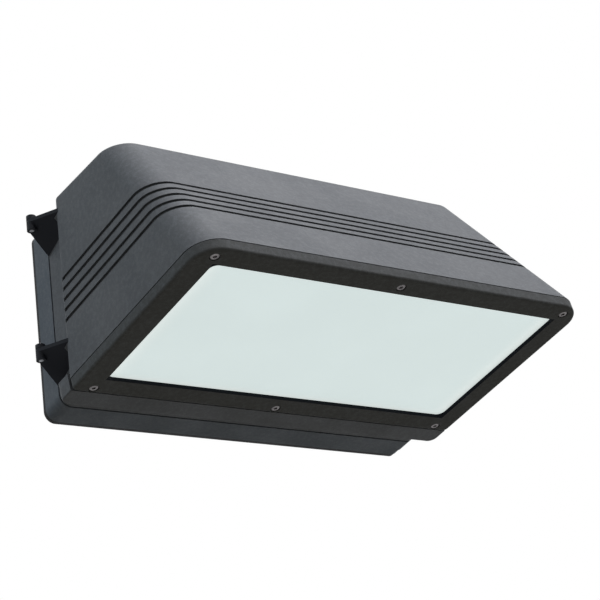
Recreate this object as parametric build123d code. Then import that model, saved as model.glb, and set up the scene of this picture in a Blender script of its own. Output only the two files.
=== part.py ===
from build123d import *
from functools import cache
from math import atan, atan2, cos, radians, sin, tan
import os

# Outdoor wall pack light, millimetres.  The wall is the plane Y = 0 and the light stands out
# towards -Y; +X is to the right of someone who faces the wall, +Z is up.  The origin lies on the
# wall in the middle of the four wall screws.

# ---------------------------------------------------------------- driving dimensions
# door frame and lens, square to the lens axis, which leans forward by LENS_TILT
FRAME_WIDTH = 362.0
FRAME_LENGTH = 181.0
FRAME_HEIGHT = 9.4
FRAME_RADIUS = 22.0
FRAME_BACK_RADIUS = 4.0
FRAME_FACE = 3.0
FRAME_EDGE_ROUND = 2.4
FRAME_SEAM_BEVEL = 0.8
FRAME_BACK_GAP = 0.4
FRONT_REACH = 234.0
FRONT_EDGE_Z = -52.0
LENS_TILT = 8.0
OPENING_SIDE = 19.2
OPENING_FRONT = 17.5
OPENING_BACK = 18.5
OPENING_RADIUS = 6.0
LENS_LIP = 5.0
LENS_THICK = 4.0
LENS_FIT = 0.3
LENS_GASKET_WIDTH = 6.0

# housing
RIDGE_Y = -139.0
RIDGE_Z = 88.8
TOP_SLOPE = 2.0
SIDE_FLARE = 4.2
SHOULDER_Y = -52.0
SHOULDER_STEP = 8.6
RIDGE_ROUND = 3.5
SHOULDER_RADIUS = 5.0
WALL = 3.0
FLANGE_COVER = 2.8
FLANGE_THICK = 12.0

# grooves round the sides and the front
GROOVE_COUNT = 5
GROOVE_FIRST = 46.0
GROOVE_PITCH = 8.6
GROOVE_WIDTH = 3.2
GROOVE_DEPTH = 1.8
GROOVE_END_Y = -55.5

# neck of the housing and the back box behind it
SEAM_Y = -26.0
BOX_TOP = 83.0
BOX_BOTTOM_DROP = 3.2
BOX_RADIUS = 9.0
TUBE_SPARE = 20.0
BOX_RIM_Y = -11.0
BOX_RIM_STEP = 0.5
RIM_WIDTH = 7.0
RIM_DEPTH = 5.0
SEAL_THICK = 1.3
SEAL_WIDTH = 4.0
SEAL_INSET = 1.2
SEAL_GAP = 0.3
WALL_GASKET_THICK = 3.5
WALL_GASKET_INSET = 0.8
WALL_SCREW_SPACING_X = 230.0
WALL_SCREW_SPACING_Z = 100.0
WALL_SCREW_HOLE_R = 3.5
ENTRY_Z = 30.0
ENTRY_R = 11.0
GROMMET_LIP = 2.5
GROMMET_LIP_THICK = 1.5
GROMMET_BORE_R = 7.0

# bar along the lower rear edge of the housing, behind the door frame and flush with its face
BAR_DEPTH = 18.0
BAR_LOW = 0.6
BAR_HIGH = 15.0
BAR_RADIUS = 7.0
BAR_ROUND = 1.2

# hinge on the left, on an axis that leans with the side; captive screws on the right
HINGE_SIDE = 18.0
HINGE_Y = -33.0
HINGE_Z = (-38.0, 72.0)
BARREL_R = 3.8
BARREL_DROP = 6.0
TAB_THICK = 3.0
EAR_THICK = 3.2
EAR_SETBACK = 1.4
HINGE_GAP = 0.4
PIN_R = 1.8
PIN_RUN = 0.08
PIN_HEAD_R = 2.8
PIN_HEAD_THICK = 0.8
LUG_FRONT_Y = -58.5
WEDGE_DROP = 20.6
EAR_OUT = 12.0
EAR_R = 8.0
SCREW_EAR_DEPTH = 8.0
BOX_EAR_DEPTH = 13.0
SCREW_EAR_Z = (-36.0, 55.0)
CAPTIVE_R = 3.0
CAPTIVE_NECK_R = 2.2
CAPTIVE_NECK = 9.0
CAPTIVE_RUN = 0.3
CAPTIVE_TAP_RUN = 0.5
CAPTIVE_HEAD_R = 6.0
CAPTIVE_HEAD = 5.0
CAPTIVE_SLOT = 1.6
CAPTIVE_GRIP = 7.0
CAPTIVE_HEAD_GAP = 0.3

# screws of the door frame
FRAME_SCREW_SIDE = 16.0
FRAME_SCREW_FRONT = 10.0
FRAME_SCREW_REAR = 5.5
FRAME_SCREW_R = 1.95
FRAME_SCREW_HEAD_R = 3.7
FRAME_SCREW_HEAD = 2.0
FRAME_SCREW_SINK = 2.2
FRAME_SCREW_LENGTH = 20.0
FRAME_SOCKET_R = 1.5
FRAME_SOCKET_ROOF = 0.8
SCREW_FIT = 0.05
HEAD_FIT = 0.4
BOSS_R = 5.0
BOSS_HEIGHT = 17.0

# light engine, on a plate parallel to the lens
PLATE_HEIGHT = 44.0
PLATE_THICK = 3.0
PLATE_SIDE = 22.0
PLATE_RADIUS = 4.0
PLATE_LENGTH = 112.0
PLATE_CENTRE = 98.0
LEDGE_LENGTH = 16.0
LEDGE_DEPTH = 20.0
LEDGE_HEIGHT = 10.0
LEDGE_PITCH = 84.0
PLATE_SCREW_INSET = 7.0
BOARD_SIDE = 28.0
BOARD_RADIUS = 2.0
BOARD_LENGTH = 78.0
BOARD_THICK = 1.6
LED_COLUMNS = 12
LED_ROWS = 4
LED_PITCH = 20.0
LED_ROW_PITCH = 18.0
LED_SIZE = 3.5
LED_THICK = 1.0
REFLECTOR_WALL = 1.0
REFLECTOR_RIM = 7.0
REFLECTOR_MOUTH_GAP = 2.0
REFLECTOR_MOUTH_HEIGHT = 14.0
REFLECTOR_BOARD_GAP = 0.5
BRACKET_THICK = 1.5
BRACKET_LENGTH = 172.0
BRACKET_WIDTH = 60.0
BRACKET_FLANGE = 12.0
BRACKET_FLANGE_INSET = 15.0
DRIVER_LENGTH = 130.0
DRIVER_WIDTH = 56.0
DRIVER_HEIGHT = 32.0
DRIVER_ROUND = 3.0
DRIVER_TAB = 10.0
DRIVER_TAB_THICK = 2.0
TERMINAL_X = 112.0
TERMINAL_LENGTH = 34.0
TERMINAL_WIDTH = 22.0
TERMINAL_HEIGHT = 14.0
TERMINAL_WAYS = 3
LEAD_R = 1.3
LEAD_PITCH = 6.0
LEAD_HOLE_OUT = 4.0
LEAD_HOLE_R = 3.6
LEAD_BEND = 4.0
LEAD_LOOP = 18.0
LEAD_MOUTH = 8.0
LED_LEAD_HALF_PITCH = 1.6
LEAD_ONTO_BOARD = 14.0
SMALL_SCREW_R = 1.7
SMALL_SCREW_HEAD_R = 3.2
SMALL_SCREW_HEAD = 2.0
GROUND_SCREW_X = 60.0
GROUND_SCREW_Z = -30.0
GROUND_BOSS_R = 5.0
GROUND_BOSS_HEIGHT = 4.0

# ---------------------------------------------------------------- derived sizes and places
OVER = 60.0  # how far cutting blocks and drills reach past what they cut
OPENING_WIDTH = FRAME_WIDTH - 2 * OPENING_SIDE
OPENING_LENGTH = FRAME_LENGTH - OPENING_FRONT - OPENING_BACK
FLANGE_OPENING_WIDTH = OPENING_WIDTH - 2 * FLANGE_COVER
FLANGE_OPENING_LENGTH = OPENING_LENGTH - 2 * FLANGE_COVER
FLANGE_OPENING_RADIUS = OPENING_RADIUS - FLANGE_COVER
FRAME_SCREW_X = FRAME_WIDTH / 2 - FRAME_SCREW_SIDE
PLATE_WIDTH = FRAME_WIDTH - 2 * PLATE_SIDE
BOARD_WIDTH = PLATE_WIDTH - 2 * BOARD_SIDE
REFLECTOR_TOP_WIDTH = BOARD_WIDTH + 2 * REFLECTOR_RIM
REFLECTOR_TOP_LENGTH = BOARD_LENGTH + 2 * REFLECTOR_RIM
REFLECTOR_MOUTH_WIDTH = FLANGE_OPENING_WIDTH - 2 * REFLECTOR_MOUTH_GAP
REFLECTOR_MOUTH_LENGTH = FLANGE_OPENING_LENGTH - 2 * REFLECTOR_MOUTH_GAP
SIN_T, COS_T = sin(radians(LENS_TILT)), cos(radians(LENS_TILT))
FLARE = tan(radians(SIDE_FLARE))
HINGE_LEAN = atan(FLARE * COS_T)
LENS = Plane(origin=(0, -FRONT_REACH, FRONT_EDGE_Z), x_dir=(1, 0, 0), z_dir=(0, SIN_T, COS_T))
SEAM_FRONT_Y = -FRONT_REACH + FRAME_HEIGHT * SIN_T
SEAM_FRONT_Z = FRONT_EDGE_Z + FRAME_HEIGHT * COS_T
OPENING_CENTRE = OPENING_FRONT + OPENING_LENGTH / 2
BAR_BACK = FRAME_LENGTH + BAR_DEPTH
RIDGE_REACH = (RIDGE_Y - SEAM_FRONT_Y) * COS_T - (RIDGE_Z - SEAM_FRONT_Z) * SIN_T
RIDGE_RISE = (RIDGE_Y - SEAM_FRONT_Y) * SIN_T + (RIDGE_Z - SEAM_FRONT_Z) * COS_T
FRONT_LEAN = atan2(RIDGE_REACH, RIDGE_RISE)
BOX_FRONT_Y = SEAM_Y + SEAL_THICK + SEAL_GAP
GASKET_Y = -WALL_GASKET_THICK
FLOOR_Y = GASKET_Y - WALL
PLATE_TOP = PLATE_HEIGHT + PLATE_THICK
BRACKET_TOP = PLATE_TOP + BRACKET_THICK


def seam_z(y):
    """Height of the plane between door frame and housing at depth y."""
    return SEAM_FRONT_Z - (y - SEAM_FRONT_Y) * tan(radians(LENS_TILT))


def half_width(y, z, inset=0.0):
    """Distance from the middle to the flared side, at depth y and height z."""
    rise = (y - SEAM_FRONT_Y) * SIN_T + (z - SEAM_FRONT_Z) * COS_T
    return FRAME_WIDTH / 2 - inset - FLARE * rise


def side_x(y, z):
    """Half width of the neck and the back box."""
    return half_width(y, z, SHOULDER_STEP)


def hinge_frame(z):
    """Plane square to the leaning hinge axis at height z: the side of the neck is at X = HINGE_SIDE."""
    x = z * tan(HINGE_LEAN) - side_x(SEAM_Y, 0) - HINGE_SIDE
    lean = Vector(sin(HINGE_LEAN), 0, cos(HINGE_LEAN))
    return Plane(origin=(x, HINGE_Y, z), x_dir=(cos(HINGE_LEAN), 0, -sin(HINGE_LEAN)), z_dir=lean)


def trim_sides(solid, inset):
    """Cut a solid back to the two flared side planes, moved inwards by inset."""
    for side in (-1, 1):
        plane = Plane(
            origin=(side * (FRAME_WIDTH / 2 - inset), SEAM_FRONT_Y, SEAM_FRONT_Z),
            z_dir=(side, FLARE * SIN_T, FLARE * COS_T),
        )
        solid = split(solid, bisect_by=plane, keep=Keep.BOTTOM)
    return solid


def across(points):
    """Side profile of (y, z) points, drawn out over the full width."""
    profile = make_face(Polyline(*points, close=True))
    return extrude(Plane.YZ * profile, FRAME_WIDTH / 2 + 1, both=True)


def outline(width, front, back, front_radius, back_radius):
    """Rectangle in lens coordinates from front to back, with its own front and back corners."""
    shape = Pos(0, (front + back) / 2) * Rectangle(width, back - front)
    points = shape.vertices().sort_by(Axis.Y)
    shape = fillet(points[:2], front_radius)
    return fillet(shape.vertices().sort_by(Axis.Y)[-2:], back_radius) if back_radius else shape


@cache
def body_form(inset=0.0):
    """Main form of the housing: flared sides, leaning front, round corners and round top rim."""
    sections = []
    for rise in (inset, RIDGE_RISE + TUBE_SPARE):
        front = inset / cos(FRONT_LEAN) + rise * tan(FRONT_LEAN)
        width = FRAME_WIDTH - 2 * (inset + FLARE * rise)
        shape = outline(width, front, 2 * FRAME_LENGTH, FRAME_RADIUS - inset, 0)
        sections.append(LENS * Pos(0, 0, FRAME_HEIGHT + rise) * shape)
    form = loft(sections, ruled=True)
    form = split(form, bisect_by=Plane(origin=(0, SHOULDER_Y - inset, 0), z_dir=(0, 1, 0)), keep=Keep.BOTTOM)
    slope = radians(TOP_SLOPE)
    top = Plane(origin=(0, RIDGE_Y, RIDGE_Z - inset), z_dir=(0, sin(slope), cos(slope)))
    form = split(form, bisect_by=top, keep=Keep.BOTTOM)
    shoulder = form.faces().sort_by(Axis.Y)[-1]
    sides = shoulder.edges().sort_by(Axis.X)
    form = fillet([sides[0], sides[-1]], SHOULDER_RADIUS - inset)
    return fillet(form.faces().sort_by(Axis.Z)[-1].edges(), RIDGE_ROUND - inset)


@cache
def box_tube(inset):
    """Rounded rectangular tube that runs through neck, back box and gasket, and past both ends."""
    front, back = SHOULDER_Y - TUBE_SPARE, TUBE_SPARE
    low = [seam_z(y) - BOX_BOTTOM_DROP + inset for y in (front, back)]
    top = BOX_TOP - inset
    form = across([(front, low[0]), (back, low[1]), (back, top), (front, top)])
    form = trim_sides(form, SHOULDER_STEP + inset)
    edges = [edge for edge in form.edges() if abs((edge % 0.5).Y) > 0.9]
    return fillet(edges, BOX_RADIUS - inset)


def box_form(front, back, inset=0.0):
    """The part of the rounded tube that lies between two depths."""
    block = Box(2 * FRAME_WIDTH, back - front, 2 * FRAME_WIDTH, align=(Align.CENTER, Align.MIN, Align.CENTER))
    return box_tube(inset) & Pos(0, front, 0) * block


def along_y(radius, x, z, front, back):
    """Cylinder along Y between two depths."""
    bar = Cylinder(radius, back - front, align=(Align.CENTER, Align.CENTER, Align.MIN))
    return Pos(x, front, z) * Rot(-90, 0, 0) * bar


def upright(radius, x, y, low, high):
    """Cylinder along Z between two heights."""
    bar = Cylinder(radius, high - low, align=(Align.CENTER, Align.CENTER, Align.MIN))
    return Pos(x, y, low) * bar


def slab(width, length, radius, low, high, centre):
    """Rounded plate in lens coordinates: X, distance behind the front edge, height."""
    shape = RectangleRounded(width, length, radius) if radius else Rectangle(width, length)
    return Pos(0, centre, low) * extrude(shape, high - low)


# ---------------------------------------------------------------- door frame, lens, screws
def frame_screw_places():
    """Six screws: the corners and the middle of the front and back rails."""
    rows = (FRAME_SCREW_FRONT, FRAME_LENGTH - FRAME_SCREW_REAR)
    return [(x, v) for v in rows for x in (-FRAME_SCREW_X, 0, FRAME_SCREW_X)]


def make_door_frame():
    frame = extrude(outline(FRAME_WIDTH, 0, FRAME_LENGTH, FRAME_RADIUS, FRAME_BACK_RADIUS), FRAME_HEIGHT)
    frame = fillet(frame.faces().sort_by(Axis.Z)[0].edges(), FRAME_EDGE_ROUND)
    frame = chamfer(frame.faces().sort_by(Axis.Z)[-1].edges(), FRAME_SEAM_BEVEL)
    frame -= slab(OPENING_WIDTH, OPENING_LENGTH, OPENING_RADIUS, -1, FRAME_HEIGHT, OPENING_CENTRE)
    frame -= slab(
        OPENING_WIDTH + 2 * LENS_LIP,
        OPENING_LENGTH + 2 * LENS_LIP,
        OPENING_RADIUS + LENS_LIP,
        FRAME_FACE,
        FRAME_HEIGHT + 1,
        OPENING_CENTRE,
    )
    for x, v in frame_screw_places():
        frame -= upright(FRAME_SCREW_R + SCREW_FIT, x, v, -1, FRAME_HEIGHT + 1)
        frame -= upright(FRAME_SCREW_HEAD_R + HEAD_FIT, x, v, -1, FRAME_SCREW_SINK)
    return LENS * frame


def make_lens():
    cover = slab(
        OPENING_WIDTH + 2 * (LENS_LIP - LENS_FIT),
        OPENING_LENGTH + 2 * (LENS_LIP - LENS_FIT),
        OPENING_RADIUS + LENS_LIP - LENS_FIT,
        FRAME_FACE,
        FRAME_FACE + LENS_THICK,
        OPENING_CENTRE,
    )
    return LENS * cover


def make_lens_gasket():
    grow = 2 * (LENS_LIP - 2 * LENS_FIT)
    low = FRAME_FACE + LENS_THICK
    radius = OPENING_RADIUS + LENS_LIP - 2 * LENS_FIT
    ring = slab(OPENING_WIDTH + grow, OPENING_LENGTH + grow, radius, low, FRAME_HEIGHT, OPENING_CENTRE)
    shrink = grow - 2 * LENS_GASKET_WIDTH
    hole = slab(OPENING_WIDTH + shrink, OPENING_LENGTH + shrink, FLANGE_OPENING_RADIUS, 0, OVER, OPENING_CENTRE)
    return LENS * (ring - hole)


def make_frame_screws():
    screws = []
    for x, v in frame_screw_places():
        head_top = FRAME_SCREW_SINK
        head = upright(FRAME_SCREW_HEAD_R, x, v, head_top - FRAME_SCREW_HEAD, head_top)
        socket = Pos(x, v, 0) * extrude(RegularPolygon(FRAME_SOCKET_R, 6), head_top - FRAME_SOCKET_ROOF)
        screws.append(LENS * (head + upright(FRAME_SCREW_R, x, v, head_top, FRAME_SCREW_LENGTH) - socket))
    return Compound(children=screws)


# ---------------------------------------------------------------- housing
def groove_tool():
    """Five slots parallel to the lens that leave the core of the housing form whole."""
    slots = []
    for k in range(GROOVE_COUNT):
        middle = FRAME_HEIGHT + GROOVE_FIRST + k * GROOVE_PITCH
        low, high = middle - GROOVE_WIDTH / 2, middle + GROOVE_WIDTH / 2
        slots.append(LENS * slab(FRAME_WIDTH + OVER, FRAME_LENGTH + OVER, 0, low, high, FRAME_LENGTH / 2))
    keep_back = Pos(0, GROOVE_END_Y + OVER, 0) * Box(FRAME_WIDTH + 2 * OVER, 2 * OVER, 2 * FRAME_LENGTH)
    return Part() + slots - body_form(GROOVE_DEPTH) - keep_back


def hinge_plan(strip):
    """Plan of a hinge arm in its own frame: the barrel circle drawn to a strip on the side."""
    return make_hull(Polyline(*strip, close=True).edges() + CenterArc((0, 0), BARREL_R, 0, 360).edges())


def hinge_lug(z):
    """Housing half of a hinge: a thin tab, a wedge below it that dies into the neck, a barrel."""
    front, back = LUG_FRONT_Y - HINGE_Y, SEAM_Y - HINGE_Y
    root = HINGE_SIDE + WALL - 1
    plan = hinge_plan([(root, front), (HINGE_SIDE - SHOULDER_STEP, front), (HINGE_SIDE, back), (root, back)])
    lug = Pos(0, 0, -WEDGE_DROP - 1) * extrude(plan, WEDGE_DROP + 1 + TAB_THICK)
    corner = Vector(HINGE_SIDE - SHOULDER_STEP, front, 0)
    tip = Vector(-BARREL_R * 0.7, -BARREL_R * 0.7, 0)
    foot = Vector(HINGE_SIDE - 1, back, -WEDGE_DROP)
    lug = split(lug, bisect_by=Plane(origin=tip, z_dir=(corner - tip).cross(foot - tip)), keep=Keep.BOTH)
    lug = lug.solids().sort_by(Axis.Z)[-1]
    return hinge_frame(z) * (lug + upright(BARREL_R, 0, 0, -BARREL_DROP, TAB_THICK))


def rear_bar():
    """Bar behind the door frame, as wide as the frame, that closes the bottom of the housing."""
    front = FRAME_LENGTH + FRAME_BACK_GAP
    shape = outline(FRAME_WIDTH, front - 2 * BAR_RADIUS, BAR_BACK, BAR_RADIUS, BAR_RADIUS)
    bar = Pos(0, 0, BAR_LOW) * extrude(shape, BAR_HIGH - BAR_LOW)
    bar = fillet(bar.faces().sort_by(Axis.Z)[0].edges(), BAR_ROUND)
    block = Box(2 * FRAME_WIDTH, OVER, 2 * OVER, align=(Align.CENTER, Align.MAX, Align.CENTER))
    bar = trim_sides(LENS * (bar - Pos(0, front, 0) * block), 0)
    return bar - box_form(SHOULDER_Y - WALL, SEAM_Y, WALL)


def screw_ear(z, front, back):
    """Ear on the right side for a captive screw, drawn to the side of the box."""
    x = side_x(SEAM_Y, z)
    centre = x + EAR_OUT
    base = Polyline((x - 2, -EAR_R * 1.6), (x, -EAR_R * 1.6), (x, EAR_R * 1.6), (x - 2, EAR_R * 1.6), close=True)
    plan = make_hull(base.edges() + CenterArc((centre, 0), EAR_R, 0, 360).edges())
    ear = extrude(plan, back - front)
    return Pos(0, back, z) * Rot(90, 0, 0) * ear


def captive_place(z):
    """X of the captive screw at height z."""
    return side_x(SEAM_Y, z) + EAR_OUT


def frame_bosses():
    """Screw bosses above the door frame, trimmed to the outer form."""
    bosses = Part() + [
        LENS * upright(BOSS_R, x, v, FRAME_HEIGHT, FRAME_HEIGHT + BOSS_HEIGHT) for x, v in frame_screw_places()
    ]
    return bosses & body_form(1.0)


def ledge_places():
    """X and distance behind the front edge of the four plate screws."""
    return [
        (side * (PLATE_WIDTH / 2 - PLATE_SCREW_INSET), PLATE_CENTRE + row * LEDGE_PITCH / 2)
        for side in (-1, 1)
        for row in (-1, 1)
    ]


def plate_ledges():
    """Four ledges on the side walls that carry the plate of the light engine."""
    ledges = Part()
    for x, v in ledge_places():
        side = 1 if x > 0 else -1
        block = Box(2 * LEDGE_DEPTH, LEDGE_LENGTH, LEDGE_HEIGHT, align=(Align.CENTER, Align.CENTER, Align.MIN))
        ledges += LENS * Pos(x + side * (LEDGE_DEPTH - PLATE_SCREW_INSET), v, PLATE_TOP) * block
    return ledges & body_form(1.0)


def frame_clearance(behind, above):
    """Block that holds the door frame and a margin behind and above it."""
    block = Box(2 * FRAME_WIDTH, 2 * FRAME_LENGTH, OVER, align=(Align.CENTER, Align.MAX, Align.MAX))
    return LENS * Pos(0, FRAME_LENGTH + behind, FRAME_HEIGHT + above) * block


def make_housing_shell():
    neck = box_form(SHOULDER_Y - SHOULDER_RADIUS, SEAM_Y)
    shell = body_form() + neck
    shell -= body_form(WALL)
    shell -= frame_clearance(FRAME_BACK_GAP, 0)
    shell -= box_form(SHOULDER_Y - WALL - 0.5, SEAM_Y - RIM_DEPTH, WALL) - frame_clearance(FRAME_BACK_GAP + WALL, WALL)
    shell -= box_form(SHOULDER_Y, SEAM_Y + 2, RIM_WIDTH)
    opening = slab(
        FLANGE_OPENING_WIDTH,
        FLANGE_OPENING_LENGTH,
        FLANGE_OPENING_RADIUS,
        0,
        FRAME_HEIGHT + FLANGE_THICK,
        OPENING_CENTRE,
    )
    shell -= LENS * opening
    shell += rear_bar()
    shell += frame_bosses()
    shell += plate_ledges()
    for x, v in frame_screw_places():
        shell -= LENS * upright(FRAME_SCREW_R + SCREW_FIT, x, v, 0, FRAME_SCREW_LENGTH + 1)
    for x, v in ledge_places():
        shell -= LENS * upright(SMALL_SCREW_R + SCREW_FIT, x, v, 0, PLATE_TOP + LEDGE_HEIGHT - 2)
    shell -= groove_tool()
    for z in HINGE_Z:
        shell += hinge_lug(z) - body_form(WALL) - box_form(SHOULDER_Y, SEAM_Y, WALL)
        shell -= hinge_frame(z) * upright(PIN_R + PIN_RUN, 0, 0, -BARREL_DROP - 1, TAB_THICK + 1)
    for z in SCREW_EAR_Z:
        shell += screw_ear(z, SEAM_Y - SCREW_EAR_DEPTH, SEAM_Y) - box_form(SHOULDER_Y, SEAM_Y + 1, WALL)
        shell -= along_y(CAPTIVE_R + CAPTIVE_RUN, captive_place(z), z, SEAM_Y - 20, SEAM_Y + 5)
    return shell


def make_housing_seal():
    """Flat ring on the rear rim of the housing that closes against the back box."""
    ring = box_form(SEAM_Y, SEAM_Y + SEAL_THICK, SEAL_INSET)
    return ring - box_form(SEAM_Y - 1, SEAM_Y + SEAL_THICK + 1, SEAL_INSET + SEAL_WIDTH)


# ---------------------------------------------------------------- back box and wall side
def wall_screw_places():
    return [(sx * WALL_SCREW_SPACING_X / 2, sz * WALL_SCREW_SPACING_Z / 2) for sx in (-1, 1) for sz in (-1, 1)]


def make_back_box():
    box = box_form(BOX_FRONT_Y, BOX_RIM_Y) + box_form(BOX_RIM_Y - 0.5, GASKET_Y, BOX_RIM_STEP)
    box -= box_form(BOX_FRONT_Y + RIM_DEPTH, FLOOR_Y, WALL)
    box -= box_form(BOX_FRONT_Y - 1, FLOOR_Y, RIM_WIDTH)
    for x, z in wall_screw_places():
        box -= along_y(WALL_SCREW_HOLE_R, x, z, FLOOR_Y - 5, 1)
    box -= along_y(ENTRY_R, 0, ENTRY_Z, FLOOR_Y - 5, 1)
    box += along_y(GROUND_BOSS_R, GROUND_SCREW_X, GROUND_SCREW_Z, FLOOR_Y - GROUND_BOSS_HEIGHT, FLOOR_Y)
    box -= along_y(
        SMALL_SCREW_R + SCREW_FIT, GROUND_SCREW_X, GROUND_SCREW_Z, FLOOR_Y - GROUND_BOSS_HEIGHT - 1, FLOOR_Y + 2
    )
    low, root = TAB_THICK + HINGE_GAP, HINGE_SIDE + 2 * WALL
    front, back = BOX_FRONT_Y + EAR_SETBACK - HINGE_Y, BOX_RIM_Y - HINGE_Y
    plan = hinge_plan([(root, front + 2 * WALL), (HINGE_SIDE, front), (HINGE_SIDE, back), (root, back)])
    for z in HINGE_Z:
        ear = Pos(0, 0, low) * extrude(plan, EAR_THICK) - upright(PIN_R, 0, 0, low - 1, low + EAR_THICK + 1)
        box += hinge_frame(z) * ear - box_form(BOX_FRONT_Y - 20, FLOOR_Y, WALL)
    for z in SCREW_EAR_Z:
        box += screw_ear(z, BOX_FRONT_Y, BOX_FRONT_Y + BOX_EAR_DEPTH) - box_form(BOX_FRONT_Y, FLOOR_Y, WALL)
        box -= along_y(
            CAPTIVE_R + CAPTIVE_TAP_RUN, captive_place(z), z, BOX_FRONT_Y - 1, BOX_FRONT_Y + BOX_EAR_DEPTH + 1
        )
    return box


def make_wall_gasket():
    pad = box_form(GASKET_Y, 0, WALL_GASKET_INSET)
    for x, z in wall_screw_places():
        pad -= along_y(WALL_SCREW_HOLE_R, x, z, GASKET_Y - 1, 1)
    return pad - along_y(ENTRY_R, 0, ENTRY_Z, GASKET_Y - 1, 1)


def make_entry_grommet():
    """Rubber bush in the wire entry, with a lip on the inner side of the back box floor."""
    body = along_y(ENTRY_R, 0, ENTRY_Z, FLOOR_Y, GASKET_Y)
    lip = along_y(ENTRY_R + GROMMET_LIP, 0, ENTRY_Z, FLOOR_Y - GROMMET_LIP_THICK, FLOOR_Y)
    return body + lip - along_y(GROMMET_BORE_R, 0, ENTRY_Z, FLOOR_Y - 5, 1)


def make_ground_screw():
    seat = FLOOR_Y - GROUND_BOSS_HEIGHT
    head = along_y(SMALL_SCREW_HEAD_R + 0.8, GROUND_SCREW_X, GROUND_SCREW_Z, seat - SMALL_SCREW_HEAD - 0.5, seat)
    slot = Pos(GROUND_SCREW_X, seat - SMALL_SCREW_HEAD, GROUND_SCREW_Z) * Box(10, 1.6, 1)
    shank = along_y(SMALL_SCREW_R, GROUND_SCREW_X, GROUND_SCREW_Z, seat, FLOOR_Y + 1.5)
    return head - slot + shank


def make_hinge_pin(z):
    """Pin pressed into the ear of the back box; its head rests on the ear."""
    ear_top = TAB_THICK + HINGE_GAP + EAR_THICK
    head = upright(PIN_HEAD_R, 0, 0, ear_top, ear_top + PIN_HEAD_THICK)
    head = fillet(head.edges().sort_by(Axis.Z)[-1], PIN_HEAD_THICK / 2)
    return hinge_frame(z) * (upright(PIN_R, 0, 0, -BARREL_DROP, ear_top) + head)


def make_captive_screw(z):
    """Screw with a slotted head and a necked shank, threaded only at its tip."""
    x = captive_place(z)
    seat = SEAM_Y - SCREW_EAR_DEPTH - CAPTIVE_HEAD_GAP
    tip = BOX_FRONT_Y + CAPTIVE_GRIP
    head = along_y(CAPTIVE_HEAD_R, x, z, seat - CAPTIVE_HEAD, seat)
    head = chamfer(head.edges().sort_by(Axis.Y)[0], 0.8)
    head -= Pos(x, seat - CAPTIVE_HEAD, z) * Box(20, 4, CAPTIVE_SLOT)
    neck = along_y(CAPTIVE_NECK_R, x, z, seat, tip - CAPTIVE_NECK)
    thread = along_y(CAPTIVE_R, x, z, tip - CAPTIVE_NECK, tip)
    thread = chamfer(thread.edges().sort_by(Axis.Y)[-1], 0.8)
    return head + neck + thread


# ---------------------------------------------------------------- light engine
def make_mounting_plate():
    plate = slab(PLATE_WIDTH, PLATE_LENGTH, PLATE_RADIUS, PLATE_HEIGHT, PLATE_TOP, PLATE_CENTRE)
    for x, v in ledge_places():
        plate -= upright(SMALL_SCREW_R + SCREW_FIT, x, v, 0, PLATE_TOP + OVER)
    plate -= upright(LEAD_HOLE_R, -BOARD_WIDTH / 2 - LEAD_HOLE_OUT, PLATE_CENTRE, 0, PLATE_TOP + OVER)
    return LENS * plate


def small_screw(x, v, seat, length):
    """Pan head screw in lens coordinates, driven upwards from seat."""
    head = upright(SMALL_SCREW_HEAD_R, x, v, seat - SMALL_SCREW_HEAD, seat)
    return head + upright(SMALL_SCREW_R, x, v, seat, seat + length)


def make_plate_screws():
    length = PLATE_THICK + LEDGE_HEIGHT - 4
    return Compound(children=[LENS * small_screw(x, v, PLATE_HEIGHT, length) for x, v in ledge_places()])


def make_led_board():
    low = PLATE_HEIGHT - BOARD_THICK
    return LENS * slab(BOARD_WIDTH, BOARD_LENGTH, BOARD_RADIUS, low, PLATE_HEIGHT, PLATE_CENTRE)


def make_led_chips():
    top = PLATE_HEIGHT - BOARD_THICK
    chip = Box(LED_SIZE, LED_SIZE, LED_THICK, align=(Align.CENTER, Align.CENTER, Align.MAX))
    places = GridLocations(LED_PITCH, LED_ROW_PITCH, LED_COLUMNS, LED_ROWS)
    return Compound(children=[LENS * Pos(0, PLATE_CENTRE, top) * place * chip for place in places])


def make_reflector():
    """White tray from the plate down to the lens, open over the board and at the mouth."""

    def tray(grow, low, high):
        mouth = Pos(0, OPENING_CENTRE, low) * Rectangle(
            REFLECTOR_MOUTH_WIDTH + 2 * grow, REFLECTOR_MOUTH_LENGTH + 2 * grow
        )
        head = Pos(0, PLATE_CENTRE, high) * Rectangle(REFLECTOR_TOP_WIDTH + 2 * grow, REFLECTOR_TOP_LENGTH + 2 * grow)
        return loft([mouth, head])

    low, high = REFLECTOR_MOUTH_HEIGHT, PLATE_HEIGHT
    shell = tray(0, low, high) - tray(-REFLECTOR_WALL, low - 0.01, high - REFLECTOR_WALL)
    gap = 2 * REFLECTOR_BOARD_GAP
    floor_low = high - 2 * REFLECTOR_WALL
    window = slab(BOARD_WIDTH + gap, BOARD_LENGTH + gap, BOARD_RADIUS, floor_low, high + 1, PLATE_CENTRE)
    notch = upright(LEAD_HOLE_R, -BOARD_WIDTH / 2 - LEAD_HOLE_OUT, PLATE_CENTRE, floor_low, high + 1)
    return LENS * (shell - window - notch)


def make_driver_bracket():
    """Folded sheet tray under the driver, with an upright flange along each long side."""
    base = slab(BRACKET_LENGTH, BRACKET_WIDTH, 0, PLATE_TOP, BRACKET_TOP, PLATE_CENTRE)
    for side in (-1, 1):
        v = PLATE_CENTRE + side * (BRACKET_WIDTH - BRACKET_THICK) / 2
        flange = BRACKET_LENGTH - 2 * BRACKET_FLANGE_INSET
        base += slab(flange, BRACKET_THICK, 0, PLATE_TOP, PLATE_TOP + BRACKET_FLANGE, v)
    for x in bracket_screw_places():
        base -= upright(SMALL_SCREW_R + SCREW_FIT, x, PLATE_CENTRE, 0, BRACKET_TOP + OVER)
    return LENS * base


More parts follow.
